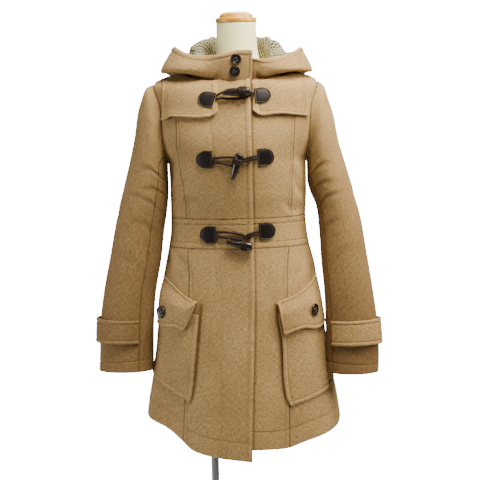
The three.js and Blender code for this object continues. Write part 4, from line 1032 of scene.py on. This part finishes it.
def ring_points(rows, around, side):
    """All rings of a sleeve at the given angles, from the armhole down."""
    sign = -1 if side == "right" else 1
    share = (1 + np.cos(around)) / 2
    points = [armhole_point(around, side)]
    for _, in_x, in_z, out_x, out_z, front, back, middle in zip(*rows.values()):
        depth = np.where(np.sin(around) > 0, front, back)
        points.append(
            np.stack(
                [
                    sign * lerp(in_x, out_x, share),
                    middle - depth * np.sin(around),
                    lerp(in_z, out_z, share),
                ],
                -1,
            )
        )
    return np.array(points)


def through(points, at):
    """A smooth curve through points (first axis), read at places from 0 to 1."""
    last = len(points) - 1
    extended = np.concatenate([[2 * points[0] - points[1]], points, [2 * points[-1] - points[-2]]])
    place = np.clip(np.asarray(at, float), 0, 1) * last
    i = np.minimum(place.astype(int), last - 1)
    u = (place - i)[..., None]
    rest = np.indices(i.shape)
    a, b, c, d = (extended[(i + k, *rest)] for k in range(4))

    def knot(one, two):
        return np.maximum(((two - one) ** 2).sum(-1, keepdims=True) ** 0.25, 1e-4)

    before, span, after = knot(a, b), knot(b, c), knot(c, d)
    start = ((b - a) / before - (c - a) / (before + span) + (c - b) / span) * span
    end = ((c - b) / span - (d - b) / (span + after) + (d - c) / after) * span
    return b + start * u + (3 * (c - b) - 2 * start - end) * u**2 + (2 * (b - c) + start + end) * u**3


def sleeve_at(along, around, side):
    along, around = np.broadcast_arrays(np.asarray(along, float), np.asarray(around, float))
    rows = SLEEVE_RIGHT if side == "right" else SLEEVE_LEFT
    point = through(ring_points(rows, around, side), along)
    outer = through(ring_points(rows, np.zeros_like(around), side), along)
    inner = through(ring_points(rows, np.full_like(around, np.pi), side), along)
    away = point - (outer + inner) / 2
    away[..., 2] = 0
    away /= np.maximum(np.linalg.norm(away, axis=-1, keepdims=True), 1e-6)
    angle = (np.degrees(around) + 180) % 360 - 180
    creases = CREASE_SHARE * strokes(CREASES[side], angle * SLEEVE_AROUND, along * SLEEVE_LENGTH)
    hollow = smooth(0.03, 0.12, along)
    return point + away * (creases * hollow)[..., None]


def seam_round(along, side):
    top, low, _ = SLEEVE_SEAMS[side]
    return np.radians(lerp(top, low, smooth(0, 0.3, along)))


for side in ("right", "left"):
    seam_back = math.radians(SLEEVE_SEAMS[side][2])
    gap = SEAM_GAP / 2 / 50
    for part in ("upper", "under"):

        def sleeve(s, t, side=side, part=part, seam_back=seam_back):
            along = 1 - t
            seam = seam_round(along, side)
            first = seam_back + gap if part == "upper" else seam + gap
            last = seam - gap if part == "upper" else seam_back + 2 * np.pi - gap
            around = lerp(first, last, s) if side == "right" else lerp(last, first, s)
            return sleeve_at(along, around, side)

        cloth(
            f"{part}_sleeve_{side}_cloth", f"{part}_sleeve_{side}", sleeve, sleeve_melton[side], step=4.5,
            low=(CUFF_STITCH,), seams="lrt",
        )

# Each cuff has a strap of doubled wool, caught in the two sleeve seams and standing a little
# off the sleeve between them. It is topstitched along both edges.
FLAP_WALL = 3.0
LAY_GAP = 0.8
STRAP_LOW = 0.885
STRAP_HIGH = 0.822
STRAP_BULGE = 5.5
for side in ("right", "left"):
    seam_back = math.radians(SLEEVE_SEAMS[side][2])

    def strap(s, t, side=side, seam_back=seam_back):
        along = lerp(STRAP_LOW, STRAP_HIGH, t)
        inset = math.radians(1.5)
        first, last = seam_back + inset, seam_round(along, side) - inset
        around = lerp(first, last, s) if side == "right" else lerp(last, first, s)
        return sleeve_at(along, around, side)

    # The right strap takes the right sleeve's finish, so painted shade darkens all of it; the left strap is plain
    # melton.
    cloth(
        f"cuff_strap_{side}_cloth", f"cuff_strap_{side}", strap, {"right": sleeve_melton["right"], "left": melton}[side], wall=FLAP_WALL,
        middle=WALL / 2 + LAY_GAP + FLAP_WALL / 2,
        lift=lambda s, t, points: STRAP_BULGE * np.maximum(np.sin(np.pi * s), 0) ** 0.7,
        low=(8,), high=(8,), rests_on=(f"upper_sleeve_{side}_cloth",), step=4.5,
    )


# The hood lies open on the shoulders: two side pieces and a narrow centre strip, rolled over
# at the front edge, where a facing is topstitched. Inside is a checked cotton lining.
HOOD = table(
    "turn crestR crestZ innerR innerZ lowR lowZ rollR rollZ edgeR edgeZ",
    (-25, 80, 1352, 82, 1358, 85, 1370, 87, 1386, 88, 1401),
    (0, 79, 1350, 80, 1360, 81, 1374, 81.5, 1388, 80, 1404),
    (25, 80, 1352, 82, 1358, 85, 1370, 87, 1386, 88, 1401),
    (40, 82, 1356, 87, 1353, 95, 1353, 103, 1371, 97, 1400),
    (52, 84, 1366, 95, 1361, 110, 1357, 127, 1368, 109, 1400),
    (65, 85, 1374, 104, 1368, 126, 1362, 149, 1369, 122, 1406),
    (78, 87, 1385, 109, 1374, 135, 1364, 161, 1367, 131, 1415),
    (90, 88, 1394, 114, 1379, 142, 1366, 168, 1365, 138, 1421),
    (115, 90, 1423, 118, 1394, 152, 1373, 181, 1362, 154, 1414),
    (135, 91, 1430, 130, 1382, 168, 1336, 196, 1346, 168, 1407),
    (155, 93, 1432, 133, 1350, 166, 1262, 197, 1306, 174, 1402),
    (180, 95, 1433, 131, 1325, 158, 1212, 188, 1276, 170, 1396),
    (205, 93, 1432, 133, 1350, 166, 1262, 197, 1306, 174, 1402),
)
NECK_RADIUS = 77.5
HOOD_FOOT_RISE = -1.0
HOOD_LEFT_DROP = 7
HOOD_STRIP_HALF = 15
HOOD_GAP = 0.15
HOOD_SEWN = 0.3
HOOD_LAP_FOOT = 0.06
HOOD_STITCH = 7


def right_lip(angle):
    """The buttoned front of the hood stands up to a corner."""
    return 9 * smooth(-30, 22, angle) * (1 - smooth(30, 60, angle))


def left_lip(angle):
    """The front beneath it is pulled down."""
    return -9 * (1 - smooth(30, 62, angle)) * smooth(-60, -20, angle)


def hood_at(turn, along, lip=right_lip):
    turn, along = np.broadcast_arrays(np.asarray(turn, float), np.asarray(along, float))
    signed = (np.degrees(turn) + 180) % 360 - 180
    angle = np.abs(np.degrees(turn))
    angle = np.where(angle > 180, 360 - angle, angle)
    drop = HOOD_LEFT_DROP * np.where(np.sin(turn) > 0, np.sin(turn) ** 2, 0)
    tip = 0.29 * NECK_RADIUS
    foot = NECK_LEVEL - tip * np.cos(turn) + HOOD_FOOT_RISE
    column = lambda name: read(HOOD, name, angle)
    line = np.array(
        [
            np.stack([np.full_like(foot, NECK_RADIUS), foot], -1),
            np.stack([column("crestR"), np.maximum(column("crestZ"), foot + 6)], -1),
            np.stack([column("innerR"), column("innerZ")], -1),
            np.stack([column("lowR"), column("lowZ")], -1),
            np.stack([column("rollR") - drop * 0.4, column("rollZ") - drop * 0.6], -1),
            np.stack([column("edgeR") + drop * 0.6, column("edgeZ") - drop + lip(signed)], -1),
        ]
    )
    at = through(line, along)
    return np.stack([at[..., 0] * np.sin(turn), -at[..., 0] * np.cos(turn), at[..., 1]], -1)


def hood_surface(start, end, foot=lambda turn: 0 * turn, edge=1.0, lip=right_lip):
    def surface(s, t):
        turn = lerp(start, end, s)
        return hood_at(np.radians(turn), lerp(foot(turn), edge, t), lip)

    return surface


lap_strength = lambda turn: smooth(-42, -28, turn) * (1 - smooth(24, 32, turn))
over_lap = lambda turn: HOOD_LAP_FOOT * lap_strength(turn)
lap_turn = math.degrees(math.asin(28 / NECK_RADIUS)) + 1.5
under_turn = math.degrees(math.asin(-22 / NECK_RADIUS))
hood_start = -180 + HOOD_STRIP_HALF
cloth(
    "hood_right_cloth", "hood_right",
    hood_surface(hood_start, lap_turn, lambda turn: 0.5 * over_lap(turn)), melton,
    lift=lambda s, t, points: LAP_LIFT * lap_strength(np.minimum(lerp(hood_start, lap_turn, s), 0)),
    far=(TOPSTITCH, 50), high=(HOOD_STITCH,), step=4.0, seams="lb", folds="r",
)
cloth(
    "hood_left_cloth", "hood_left",
    hood_surface(under_turn, 180 - HOOD_STRIP_HALF, over_lap, lip=left_lip), melton,
    high=(HOOD_STITCH,), step=4.0, seams="rb",
    shade=lambda points: beside_lap(points, LAP_LIFT + 1),
)
cloth(
    "hood_centre_cloth", "hood_centre",
    hood_surface(180 - HOOD_STRIP_HALF - HOOD_SEWN, 180 + HOOD_STRIP_HALF + HOOD_SEWN), melton,
    high=(HOOD_STITCH,), step=4.0, seams="lrb",
)
LINING_WALL = 1.2
CHECK_SIZE = 0.0075
CHECK_BIAS = 0.62
check = Finish("checked_cotton", Roughness=0.8, Sheen_Weight=0.15)
check_run = check.node("UVMap", {"uv_map": "cloth"})
run_u = check.part(check_run, 0)
run_v = check.part(check_run, 1)
check_u = check.period(run_u * math.cos(CHECK_BIAS) + run_v * math.sin(CHECK_BIAS), 1 / CHECK_SIZE)
check_v = check.period(run_v * math.cos(CHECK_BIAS) - run_u * math.sin(CHECK_BIAS), 1 / CHECK_SIZE)
bar_u = check_u < 0.78
bar_v = check_v < 0.78
thin_u = check_u > 0.89
thin_v = check_v > 0.89
ground = check.blend(check.larger(thin_u, thin_v) * 0.6, rgb(208, 196, 150), rgb(112, 96, 50))
ground = check.blend(bar_u * bar_v, ground, rgb(8, 7, 5))
check.color(ground)
check.bump(check.noise(check.stretch(check_run, (1.0, 1.0, 1.0)), 1500.0, 1.0), 0.0003, 0.4)
lining_depth = WALL / 2 + 2.0 + LINING_WALL / 2
CRUMPLE = 4.2


def crumpled(s, t, points):
    """The lining is cut loose, so it stands in small folds off the wool."""
    x, y, z = points[..., 0], points[..., 1], points[..., 2]
    waves = np.sin(x / 5.2 + 1.6 * np.sin(z / 8.0)) + np.sin(y / 6.8 + 1.4 * np.sin(x / 9.0) + 2)
    middle = smooth(0, 0.12, s) * (1 - smooth(0.88, 1, s)) * smooth(0, 0.15, t) * (1 - smooth(0.8, 0.95, t))
    return -CRUMPLE * middle * (1 + 0.5 * waves)


for side in ("right", "left"):
    limits = (
        (-180 + HOOD_GAP, under_turn - HOOD_GAP) if side == "right" else (under_turn + HOOD_GAP, 180 - HOOD_GAP)
    )
    cloth(
        f"hood_lining_{side}_cloth", f"hood_lining_{side}",
        hood_surface(*limits, over_lap, 0.95, right_lip if side == "right" else left_lip), check,
        wall=LINING_WALL, middle=-lining_depth, slot="lining", rests_on=(f"hood_{side}_cloth",), step=4.0,
        lift=crumpled,
    )


# Yokes of doubled wool lie over the shoulders, sewn in at the neck and topstitched. Their
# lower edges are loose and lift a little.
YOKE = {"right": (44, 164, 1260), "left": (32, 151, 1263)}
YOKE_FOOT = {
    "right": table("across rise", (0, 8), (0.1, 7), (0.25, 5.5), (0.52, 8), (0.73, 9), (0.85, 2), (1, 0)),
    "left": table("across rise", (0, 7), (0.12, 5), (0.35, 8), (0.7, 4), (1, 0)),
}
YOKE_TOP = 1358
YOKE_CORNER = 11
YOKE_START = WALL / 2 + LAY_GAP + 0.8
YOKE_FLARE = 2.2


def yoke_wave(x, t):
    """The loose lower edge's own small waves."""
    return (1 - smooth(0, 0.35, t)) * (0.9 * np.sin(x / 13.0) + 0.7 * np.sin(x / 5.7 + 1.0) + 1.0)


for side in ("right", "left"):
    sign = -1 if side == "right" else 1
    inner, outer, foot = YOKE[side]

    def yoke(s, t, side=side, sign=sign, inner=inner, outer=outer, foot=foot):
        place = 1 - s if sign < 0 else s
        corner = YOKE_CORNER * np.maximum(0, 1 - place / 0.12) ** 2 * (1 - t)
        corner = corner + read(YOKE_FOOT[side], "rise", place) * (1 - t) ** 2
        level = lerp(foot, YOKE_TOP, t) + corner
        first, last = turn_at_width(sign * inner, level), turn_at_width(sign * outer, level)
        return body_at(lerp(first, last, place), level)

    def yoke_lift(s, t, points, sign=sign):
        rise = lap_lift(points[..., 0]) if sign < 0 else 0
        return rise + YOKE_FLARE * (1 - smooth(0, 0.2, t)) + yoke_wave(points[..., 0], t)

    inner_edge, outer_edge = (10,), (10, 17)
    cloth(
        f"yoke_front_{side}_cloth", f"yoke_front_{side}", yoke, melton, wall=FLAP_WALL,
        middle=YOKE_START + FLAP_WALL / 2, lift=yoke_lift,
        near=outer_edge if side == "right" else inner_edge, far=inner_edge if side == "right" else outer_edge,
        low=(10,), rests_on=(f"bodice_front_{side}_cloth",), step=4.0,
    )
YOKE_BACK = (147, 134, 1246)


def back_yoke(s, t):
    level = lerp(YOKE_BACK[2], YOKE_TOP, t)
    left = np.pi - np.abs(turn_at_width(YOKE_BACK[1], level))
    right = np.pi + np.abs(turn_at_width(-YOKE_BACK[0], level))
    return body_at(lerp(left, right, s), level)


cloth(
    "yoke_back_cloth", "yoke_back", back_yoke, melton, wall=FLAP_WALL, middle=YOKE_START + FLAP_WALL / 2,
    lift=lambda s, t, points: 2 * smooth(0.82, 0.95, t)
    + YOKE_FLARE * (1 - smooth(0, 0.2, t)) + yoke_wave(points[..., 0], t),
    near=(12,), far=(12,), low=(12,), rests_on=("bodice_back_cloth",), step=4.5,
)


# Two large patch pockets of the same wool are sewn on at the sides, each with a slanted flap
# that buttons down. Pocket and flap stand off the skirt on their inner side.
POCKET_OUTER_TURN = math.radians(80)
POCKET_BULGE = 6
POCKET_FLAP = {
    "right": table(
        "across top foot",
        (0, 861, 851),
        (0.06, 864, 830),
        (0.12, 867, 812),
        (0.2, 872, 797),
        (0.33, 882, 803),
        (0.65, 902, 801),
        (1, 910, 803),
    ),
    "left": table(
        "across top foot",
        (0, 857, 846),
        (0.02, 858, 812),
        (0.05, 860, 785),
        (0.2, 867, 792),
        (0.335, 873, 796),
        (0.53, 884, 791),
        (1, 908, 798),
    ),
}
FLAP_INNER = {"right": 97, "left": 75.5}
FLAP_OUTER_TURN = math.radians(78)
FLAP_BULGE = 9


def pocket_lift(across, t):
    up = smooth(0, 0.45, t)
    crown = 0.35 + 0.65 * np.sin(np.pi * np.clip(across * 0.9 + 0.12, 0, 1)) ** 0.8
    return POCKET_BULGE * up * crown * (1 - smooth(0.6, 1, across)) * (1 - 0.4 * smooth(0.7, 1, t))


def flap_lift(across, t):
    return FLAP_BULGE * (1 - smooth(0.55, 1, t)) * (1 - smooth(0.55, 1, across))


for side in ("right", "left"):
    sign = -1 if side == "right" else 1
    way = (lambda s: 1 - s) if side == "right" else (lambda s: s)

    def pocket(s, t, side=side, sign=sign, way=way):
        place = way(s)
        low = lerp(*POCKET_FOOT[side], place)
        level = lerp(low, lerp(*POCKET_MOUTH, place), t)
        inner = turn_at_width(sign * read(POCKET_EDGE, side, level), level)
        return body_at(lerp(inner, sign * POCKET_OUTER_TURN, place), level)

    def flap(s, t, side=side, sign=sign, way=way):
        place = way(s)
        top, foot = read(POCKET_FLAP[side], "top", place), read(POCKET_FLAP[side], "foot", place)
        inner = turn_at_width(sign * FLAP_INNER[side], top)
        return body_at(lerp(inner, sign * FLAP_OUTER_TURN, place), lerp(foot, top, t))

    inner_stitch = {"far" if side == "right" else "near": (9,)}
    cloth(
        f"pocket_{side}_cloth", f"pocket_{side}", pocket, melton, wall=FLAP_WALL,
        middle=WALL / 2 + LAY_GAP + FLAP_WALL / 2,
        lift=lambda s, t, points, way=way: pocket_lift(way(s), t),
        low=(9,), rests_on=(f"skirt_side_front_{side}_cloth",), step=4.5, **inner_stitch,
    )
    over = 2 * LAY_GAP + FLAP_WALL
    cloth(
        f"pocket_flap_{side}_cloth", f"pocket_flap_{side}", flap, melton, wall=FLAP_WALL,
        middle=WALL / 2 + FLAP_WALL / 2,
        lift=lambda s, t, points, way=way: lerp(over, LAY_GAP, smooth(0.55, 1, t)) + flap_lift(way(s), t),
        low=(8,), high=(7,), rests_on=(f"pocket_{side}_cloth",), step=4.0, **inner_stitch,
    )


# The buttons are turned from dark streaked horn imitation, with a rim, a dished face and
# four holes, sewn on with thread. Two close the collar and one each pocket flap.
horn = Finish("dark_horn", Roughness=0.25, Specular_IOR_Level=0.5)
horn_streak = horn.noise(horn.stretch(horn.place(), (1.0, 1.0, 0.25)), 190.0, 4.0, 0.6)
horn.color(
    horn.node(
        "ValToRGB",
        {"stops": [(0.38, rgb(16, 12, 11)), (0.6, rgb(34, 24, 20)), (0.78, rgb(92, 68, 50))]},
        Fac=horn_streak,
    )
)
horn.bump(horn_streak, 0.0002, 0.2)


def pressed(name, radius, thick, place, outward, lean):
    """A four-hole button standing on a point and facing outward."""
    up = np.array([0, 0, 1.0])
    side_way = np.cross(up, outward)
    side_way /= np.linalg.norm(side_way)
    upright = np.cross(outward, side_way)
    c, s = math.cos(lean), math.sin(lean)
    axes = np.array([c * side_way + s * upright, c * upright - s * side_way, outward])
    count, rings = 72, []
    turn = np.linspace(0, 2 * np.pi, count, endpoint=False)
    r = radius / 11.8
    profile = [
        (0.55, 0), (0.9, 0), (0.975, 0.25), (1.0, 0.8), (0.985, thick / r - 0.7), (0.94, thick / r - 0.15),
        (0.87, thick / r), (0.8, thick / r - 0.25), (0.7, thick / r - 0.9), (0.6, thick / r - 1.1),
        (0.5, thick / r - 1.15), (0.42, thick / r - 1.15), (0.34, thick / r - 1.15), (0.26, thick / r - 1.15),
        (0.18, thick / r - 1.15), (0.1, thick / r - 1.15),
    ]
    for share, height in profile:
        x, y = radius * share * np.cos(turn), radius * share * np.sin(turn)
        hole = np.zeros(count)
        for hx in (-1, 1):
            for hy in (-1, 1):
                d = np.hypot(x - hx * 2.7 * r, y - hy * 2.7 * r)
                hole = np.maximum(hole, 1 - smooth(1.2 * r, 1.9 * r, d))
        inside = share < 0.58 and height > 0.5
        z = height * r - (1.5 * r * hole if inside else 0)
        rings.append(np.stack([x, y, z + np.zeros(count)], 1))
    ends = [[0, 0, 0], [0, 0, thick - 1.15 * r]]
    points = np.concatenate(rings + [ends])
    piece = mesh_piece(name, place + points @ axes, ring_faces(len(rings), count), horn)
    threads = []
    for one, two in (((-1, -1), (1, -1)), ((-1, 1), (1, 1))):
        a = np.array([*one, 0]) * 2.7 * r
        b = np.array([*two, 0]) * 2.7 * r
        a[2] = b[2] = thick - 1.9 * r
        t = np.linspace(0, 1, 9)[:, None]
        arch = a + (b - a) * t
        arch[:, 2] += 1.0 * r * np.sin(np.pi * t[:, 0])
        threads.append(place + arch @ axes)
    return piece, threads


def tube(name, line, radius, finish, count=10, strands=0, turns=0.0):
    """A cord along a line of points. With strands, it is twisted from that many."""
    line = np.asarray(line, float)
    ahead = np.gradient(line, axis=0)
    ahead /= np.linalg.norm(ahead, axis=1, keepdims=True)
    side_way = np.cross(ahead[0], [0, 0, 1.0] if abs(ahead[0][2]) < 0.9 else [1.0, 0, 0])
    rings = []
    turn = np.linspace(0, 2 * np.pi, count, endpoint=False)
    length = np.concatenate([[0], np.cumsum(np.linalg.norm(np.diff(line, axis=0), axis=1))])
    for i, point in enumerate(line):
        side_way = side_way - ahead[i] * (side_way @ ahead[i])
        side_way /= np.linalg.norm(side_way)
        up = np.cross(ahead[i], side_way)
        shape = radius * np.ones(count)
        if strands:
            shape = radius * (0.72 + 0.3 * np.abs(np.cos(strands / 2 * (turn - turns * length[i]))))
        if i in (0, len(line) - 1):
            shape = shape * 0.6
        rings.append(point + shape[:, None] * (np.cos(turn)[:, None] * side_way + np.sin(turn)[:, None] * up))
    points = np.concatenate(rings + [[line[0], line[-1]]])
    return mesh_piece(name, points, ring_faces(len(line), count), finish)


thread = Finish("brown_thread", Roughness=0.7)
thread.color(thread.blend(thread.noise(thread.place(), 1500.0), rgb(58, 42, 32), rgb(92, 70, 54)))
thread.bump(thread.noise(thread.place(), 3000.0), 0.0002, 0.5)
HOOD_BUTTONS = ((-1.5, 1390), (-3.5, 1364.5))
POCKET_BUTTONS = {"right": (-63, 835, -44, 20), "left": (52, 836, 60, 20.5)}
BUTTON_THICK = 3.6
buttons = []
for i, (turn, height) in enumerate(HOOD_BUTTONS):
    along = np.linspace(0, 1, 400)
    line = hood_at(np.radians(turn), along)
    k = int(np.argmin(np.abs(line[:, 2] - height)))
    out = facing(hood_at, np.radians(turn), along[k], 0.05, 0.02)
    place = line[k] + out * (LAP_LIFT + WALL / 2 + 0.9)
    buttons.append((f"hood_button_{i + 1}", 11.8, place, out, math.radians(20 + 30 * i)))
for side, (turn, height, face, lift) in POCKET_BUTTONS.items():
    out = np.array([math.sin(math.radians(face)), -math.cos(math.radians(face)), 0])
    place = plain_body(math.radians(turn), height) + out * lift
    buttons.append((f"pocket_button_{side}", 14, place, out, math.radians(15)))
for name, radius, place, out, lean in buttons:
    piece, threads = pressed(f"{name}_horn", radius, BUTTON_THICK, place, out, lean)
    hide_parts(name)
    for k, line in enumerate(threads):
        tube(f"{name}_thread_{k}", line, 0.75 * radius / 11.8, thread, 8)


# Each toggle fastening has a leather patch on either front. A loop of twisted leather cord is
# sewn under the right patch, and a short cord under the left one carries the horn toggle.
LEATHER_WALL = 2.2
PATCH_WIDTH = 35
PATCH_HEIGHT = 38
PATCHES = {
    "patch_1_right": (-68, 1312, -16, True),
    "patch_1_left": (54, 1318.5, 3, True),
    "patch_2_right": (-75, 1174, 0, False),
    "patch_2_left": (58, 1177, 3, False),
    "patch_3_right": (-71, 1008, 0, False),
    "patch_3_left": (58, 1014, 2, False),
}
leather = Finish("dark_leather", Roughness=0.46, Specular_IOR_Level=0.25)
leather_grain = leather.node("TexVoronoi", {"feature": "F1"}, Vector=leather.place(), Scale=900.0)
leather_cloud = leather.noise(leather.place(), 120.0, 3.0)
leather_marks = leather.node("UVMap", {"uv_map": "stitch"})
leather_run = leather.node("UVMap", {"uv_map": "cloth"})
leather_stitch = leather.larger(
    leather.part(leather_marks, 0) * (leather.period(leather.part(leather_run, 1), 300.0) < 0.66),
    leather.part(leather_marks, 1) * (leather.period(leather.part(leather_run, 0), 300.0) < 0.66),
)
leather.color(
    leather.blend(
        leather_stitch * 0.9,
        leather.blend(leather_cloud, rgb(12, 8, 8), rgb(26, 18, 16)),
        rgb(58, 45, 38),
    )
)
leather.bump(leather_grain * 0.5 + leather_cloud * 0.4, 0.0005, 0.5)
for name, (x, level, lean, over_yoke) in PATCHES.items():
    sign = -1 if x < 0 else 1
    tilt = math.radians(lean)
    under = FLAP_WALL + LAY_GAP + 0.8 if over_yoke else 0

    def patch(s, t, x=x, level=level, tilt=tilt, sign=sign):
        v = 2 * t - 1
        half = 0.42 + 0.58 * np.sqrt(np.maximum(1 - np.abs(v) ** 2.2, 0))
        u = sign * PATCH_WIDTH * (-0.5 + half * (s if sign > 0 else 1 - s))
        h = v * PATCH_HEIGHT / 2
        wide = x + u * math.cos(tilt) - h * math.sin(tilt)
        high = level + u * math.sin(tilt) + h * math.cos(tilt)
        return body_at(turn_at_width(wide, high), high)

    def patch_lift(s, t, points, sign=sign, wavy=over_yoke):
        rise = lap_lift(points[..., 0]) if sign < 0 else 0
        return rise + 0.5 * np.sin(np.pi * np.clip(s, 0, 1)) * np.sin(np.pi * np.clip(t, 0, 1))

    cloth(
        f"{name}_leather", name, patch, leather, wall=LEATHER_WALL,
        middle=WALL / 2 + under + LAY_GAP + 0.2 + LEATHER_WALL / 2, lift=patch_lift,
        near=(3,), far=(3,), low=(3,), high=(3,), slot="leather", held="laid",
        rests_on=("bodice_front_right_cloth" if sign < 0 else "bodice_front_left_cloth",), step=1.6,
    )

FASTENINGS = (
    (
        "1", (27, 1325, 15.8), (-32, 1322, 12),
        ((-46, 1319, 7.4), (-36, 1325, 6.5), (-20, 1334, 3.4), (4, 1336, 2.6), (20, 1332, 2.4), (25, 1324, 2.4),
         (18, 1315, 2.4), (0, 1312, 2.6), (-22, 1311.5, 3.4), (-37, 1312, 6.5), (-48, 1310, 7.2)),
        ((35, 1320, 6.2), (30, 1321.5, 6.8), (22, 1323.2, 6.7), (8, 1324, 5.6)),
    ),
    (
        "2", (2.5, 1186, 14.8), (-16, 1130, 10.5),
        ((-56.5, 1177, 2.6), (-40, 1178, 2.6), (-18, 1178.5, 2.4), (-3, 1176, 2.4), (4, 1169, 2.4),
         (-3, 1161.5, 2.4), (-18, 1161, 2.4), (-40, 1166.5, 2.6), (-56.5, 1168, 2.6)),
        ((39.5, 1177, 3.4), (30, 1176.5, 4.6), (14, 1172.5, 6.8), (3, 1170.5, 6.4)),
    ),
    (
        "3", (24, 980, 13.8), (-34, 992, 9.5),
        ((-52.5, 1014, 2.6), (-36, 1014, 2.6), (-14, 1012, 2.4), (4, 1007, 2.4), (10, 1000, 2.4),
         (4, 996.5, 2.4), (-14, 998.5, 2.4), (-36, 1002, 2.6), (-52.5, 1004, 2.6)),
        ((39.5, 1012, 3.4), (28, 1009.5, 5.4), (12, 1002.5, 6.8), (4, 990.5, 7.0)),
    ),
)
TOGGLE_LENGTH = 60
TOGGLE = [
    (0, 0), (4.4, 0), (7.6, 0.9), (8.8, 3), (9.3, 8.4), (9.2, 14), (8.7, 22), (8.3, 25.2), (6.8, 42),
    (4.6, 55.2), (3.0, 58.8), (1.2, 60), (0, 60),
]
CORD_RADIUS = 2.9
HOLD_SPREAD = 2.6
WRAP_TURNS = 3
WRAP_FROM, WRAP_TO = 12, 24
WRAP_OUT = 10.2
cord_leather = Finish("cord_leather", Roughness=0.5, Specular_IOR_Level=0.2)
cord_grain = cord_leather.noise(cord_leather.place(), 700.0, 3.0)
cord_leather.color(cord_leather.blend(cord_grain, rgb(16, 8, 6), rgb(50, 28, 20)))
cord_leather.bump(cord_grain, 0.0004, 0.4)


def over_front(x, level, lift):
    turn = turn_at_width(x, level)
    out = facing(
        lambda w, z: body_at(turn_at_width(w, z), z), np.array(float(x)), np.array(float(level)), 2.0, 2.0
    )
    rise = WALL / 2 + lift + (lap_lift(x) if x < 36 else 0)
    return body_at(turn, level) + out * rise


def smooth_line(points, count):
    points = np.array([over_front(*p) for p in points])
    at = np.linspace(0, 1, count)
    many = np.broadcast_to(points[:, None, :], (len(points), count, 3))
    return through(many, at)


for number, fat, tip, loop, hold in FASTENINGS:
    start, end = over_front(*fat), over_front(*tip)
    axis = (end - start) / np.linalg.norm(end - start)
    side_way = np.cross(axis, [0, -1.0, 0])
    side_way /= np.linalg.norm(side_way)
    toggle = turned(
        f"toggle_{number}_horn", TOGGLE, horn, 40, (start, np.array([side_way, np.cross(axis, side_way), axis]))
    )
    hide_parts(f"toggle_{number}")
    cord = tube(f"loop_cord_{number}_leather", smooth_line(loop, 120), CORD_RADIUS, cord_leather, 14, 2, 0.55)
    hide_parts(f"loop_cord_{number}")
    for strand, place in (("upper", HOLD_SPREAD), ("lower", -HOLD_SPREAD)):
        line = smooth_line(hold, 50)
        line[:, 2] += place
        cord = tube(f"hold_cord_{number}_{strand}", line, CORD_RADIUS, cord_leather, 14, 2, 0.55)
        if strand == "upper":
            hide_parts(f"toggle_cord_{number}")
    wrap_turn = np.linspace(0, 2 * np.pi * WRAP_TURNS, 40 * WRAP_TURNS)
    wrap_line = (
        start + np.linspace(WRAP_FROM, WRAP_TO, len(wrap_turn))[:, None] * axis
        + WRAP_OUT * (
            np.cos(wrap_turn)[:, None] * side_way + np.sin(wrap_turn)[:, None] * np.cross(axis, side_way)
        )
    )
    wrap = tube(f"wrap_cord_{number}", wrap_line, 2.2, cord_leather, 10)

# The room: a plain pale floor, a white surround and soft lamps, the strongest at the upper
# right in front of the coat.
floor_finish = Finish("pale_floor", Roughness=0.6)
floor_finish.shader.inputs["Base Color"].default_value = rgb(246, 246, 246)
FLOOR_RADIUS = 1500
floor_turn = np.linspace(0, 2 * np.pi, 96, endpoint=False)
floor_rim = np.column_stack([FLOOR_RADIUS * np.cos(floor_turn), FLOOR_RADIUS * np.sin(floor_turn)])
floor = mesh_piece(
    "floor", np.column_stack([floor_rim, np.full(96, -0.5)]), [list(range(96))], floor_finish, False
)
world = bpy.data.worlds.new("surround")
bpy.context.scene.world = world
world.use_nodes = True
surround = world.node_tree
room_light = surround.nodes["Background"]
room_light.inputs["Color"].default_value = (1, 1, 1, 1)
room_light.inputs["Strength"].default_value = 0.14
seen_wall = surround.nodes.new("ShaderNodeBackground")
seen_wall.inputs["Strength"].default_value = 22.0
seen = surround.nodes.new("ShaderNodeLightPath")
room = surround.nodes.new("ShaderNodeMixShader")
surround.links.new(seen.outputs["Is Camera Ray"], room.inputs[0])
surround.links.new(room_light.outputs[0], room.inputs[1])
surround.links.new(seen_wall.outputs[0], room.inputs[2])
surround.links.new(room.outputs[0], surround.nodes["World Output"].inputs["Surface"])


def lamp(name, place, target, size, power, color=(1, 1, 1), spread=180):
    data = bpy.data.lights.new(name, "AREA")
    data.color = color
    data.size = size
    data.energy = power
    data.spread = math.radians(spread)
    light = bpy.data.objects.new(name, data)
    bpy.context.collection.objects.link(light)
    light.location = place
    light.rotation_euler = (Vector(target) - Vector(place)).to_track_quat("-Z", "Y").to_euler()


lamp("top_lamp", (0.4, -0.5, 2.4), (0.05, -0.1, 1.4), 0.8, 24, (1, 0.95, 0.8), 110)
lamp("right_lamp", (2.1, -0.45, 2.0), (0.1, -0.1, 1.3), 0.9, 15, (1, 0.95, 0.82), 90)
lamp("front_lamp", (-2.7, -0.8, 0.95), (0, 0, 0.75), 1.3, 44)
lamp("back_lamp", (0.3, 1.3, 2.7), (0, 0, 1.1), 1.2, 44)
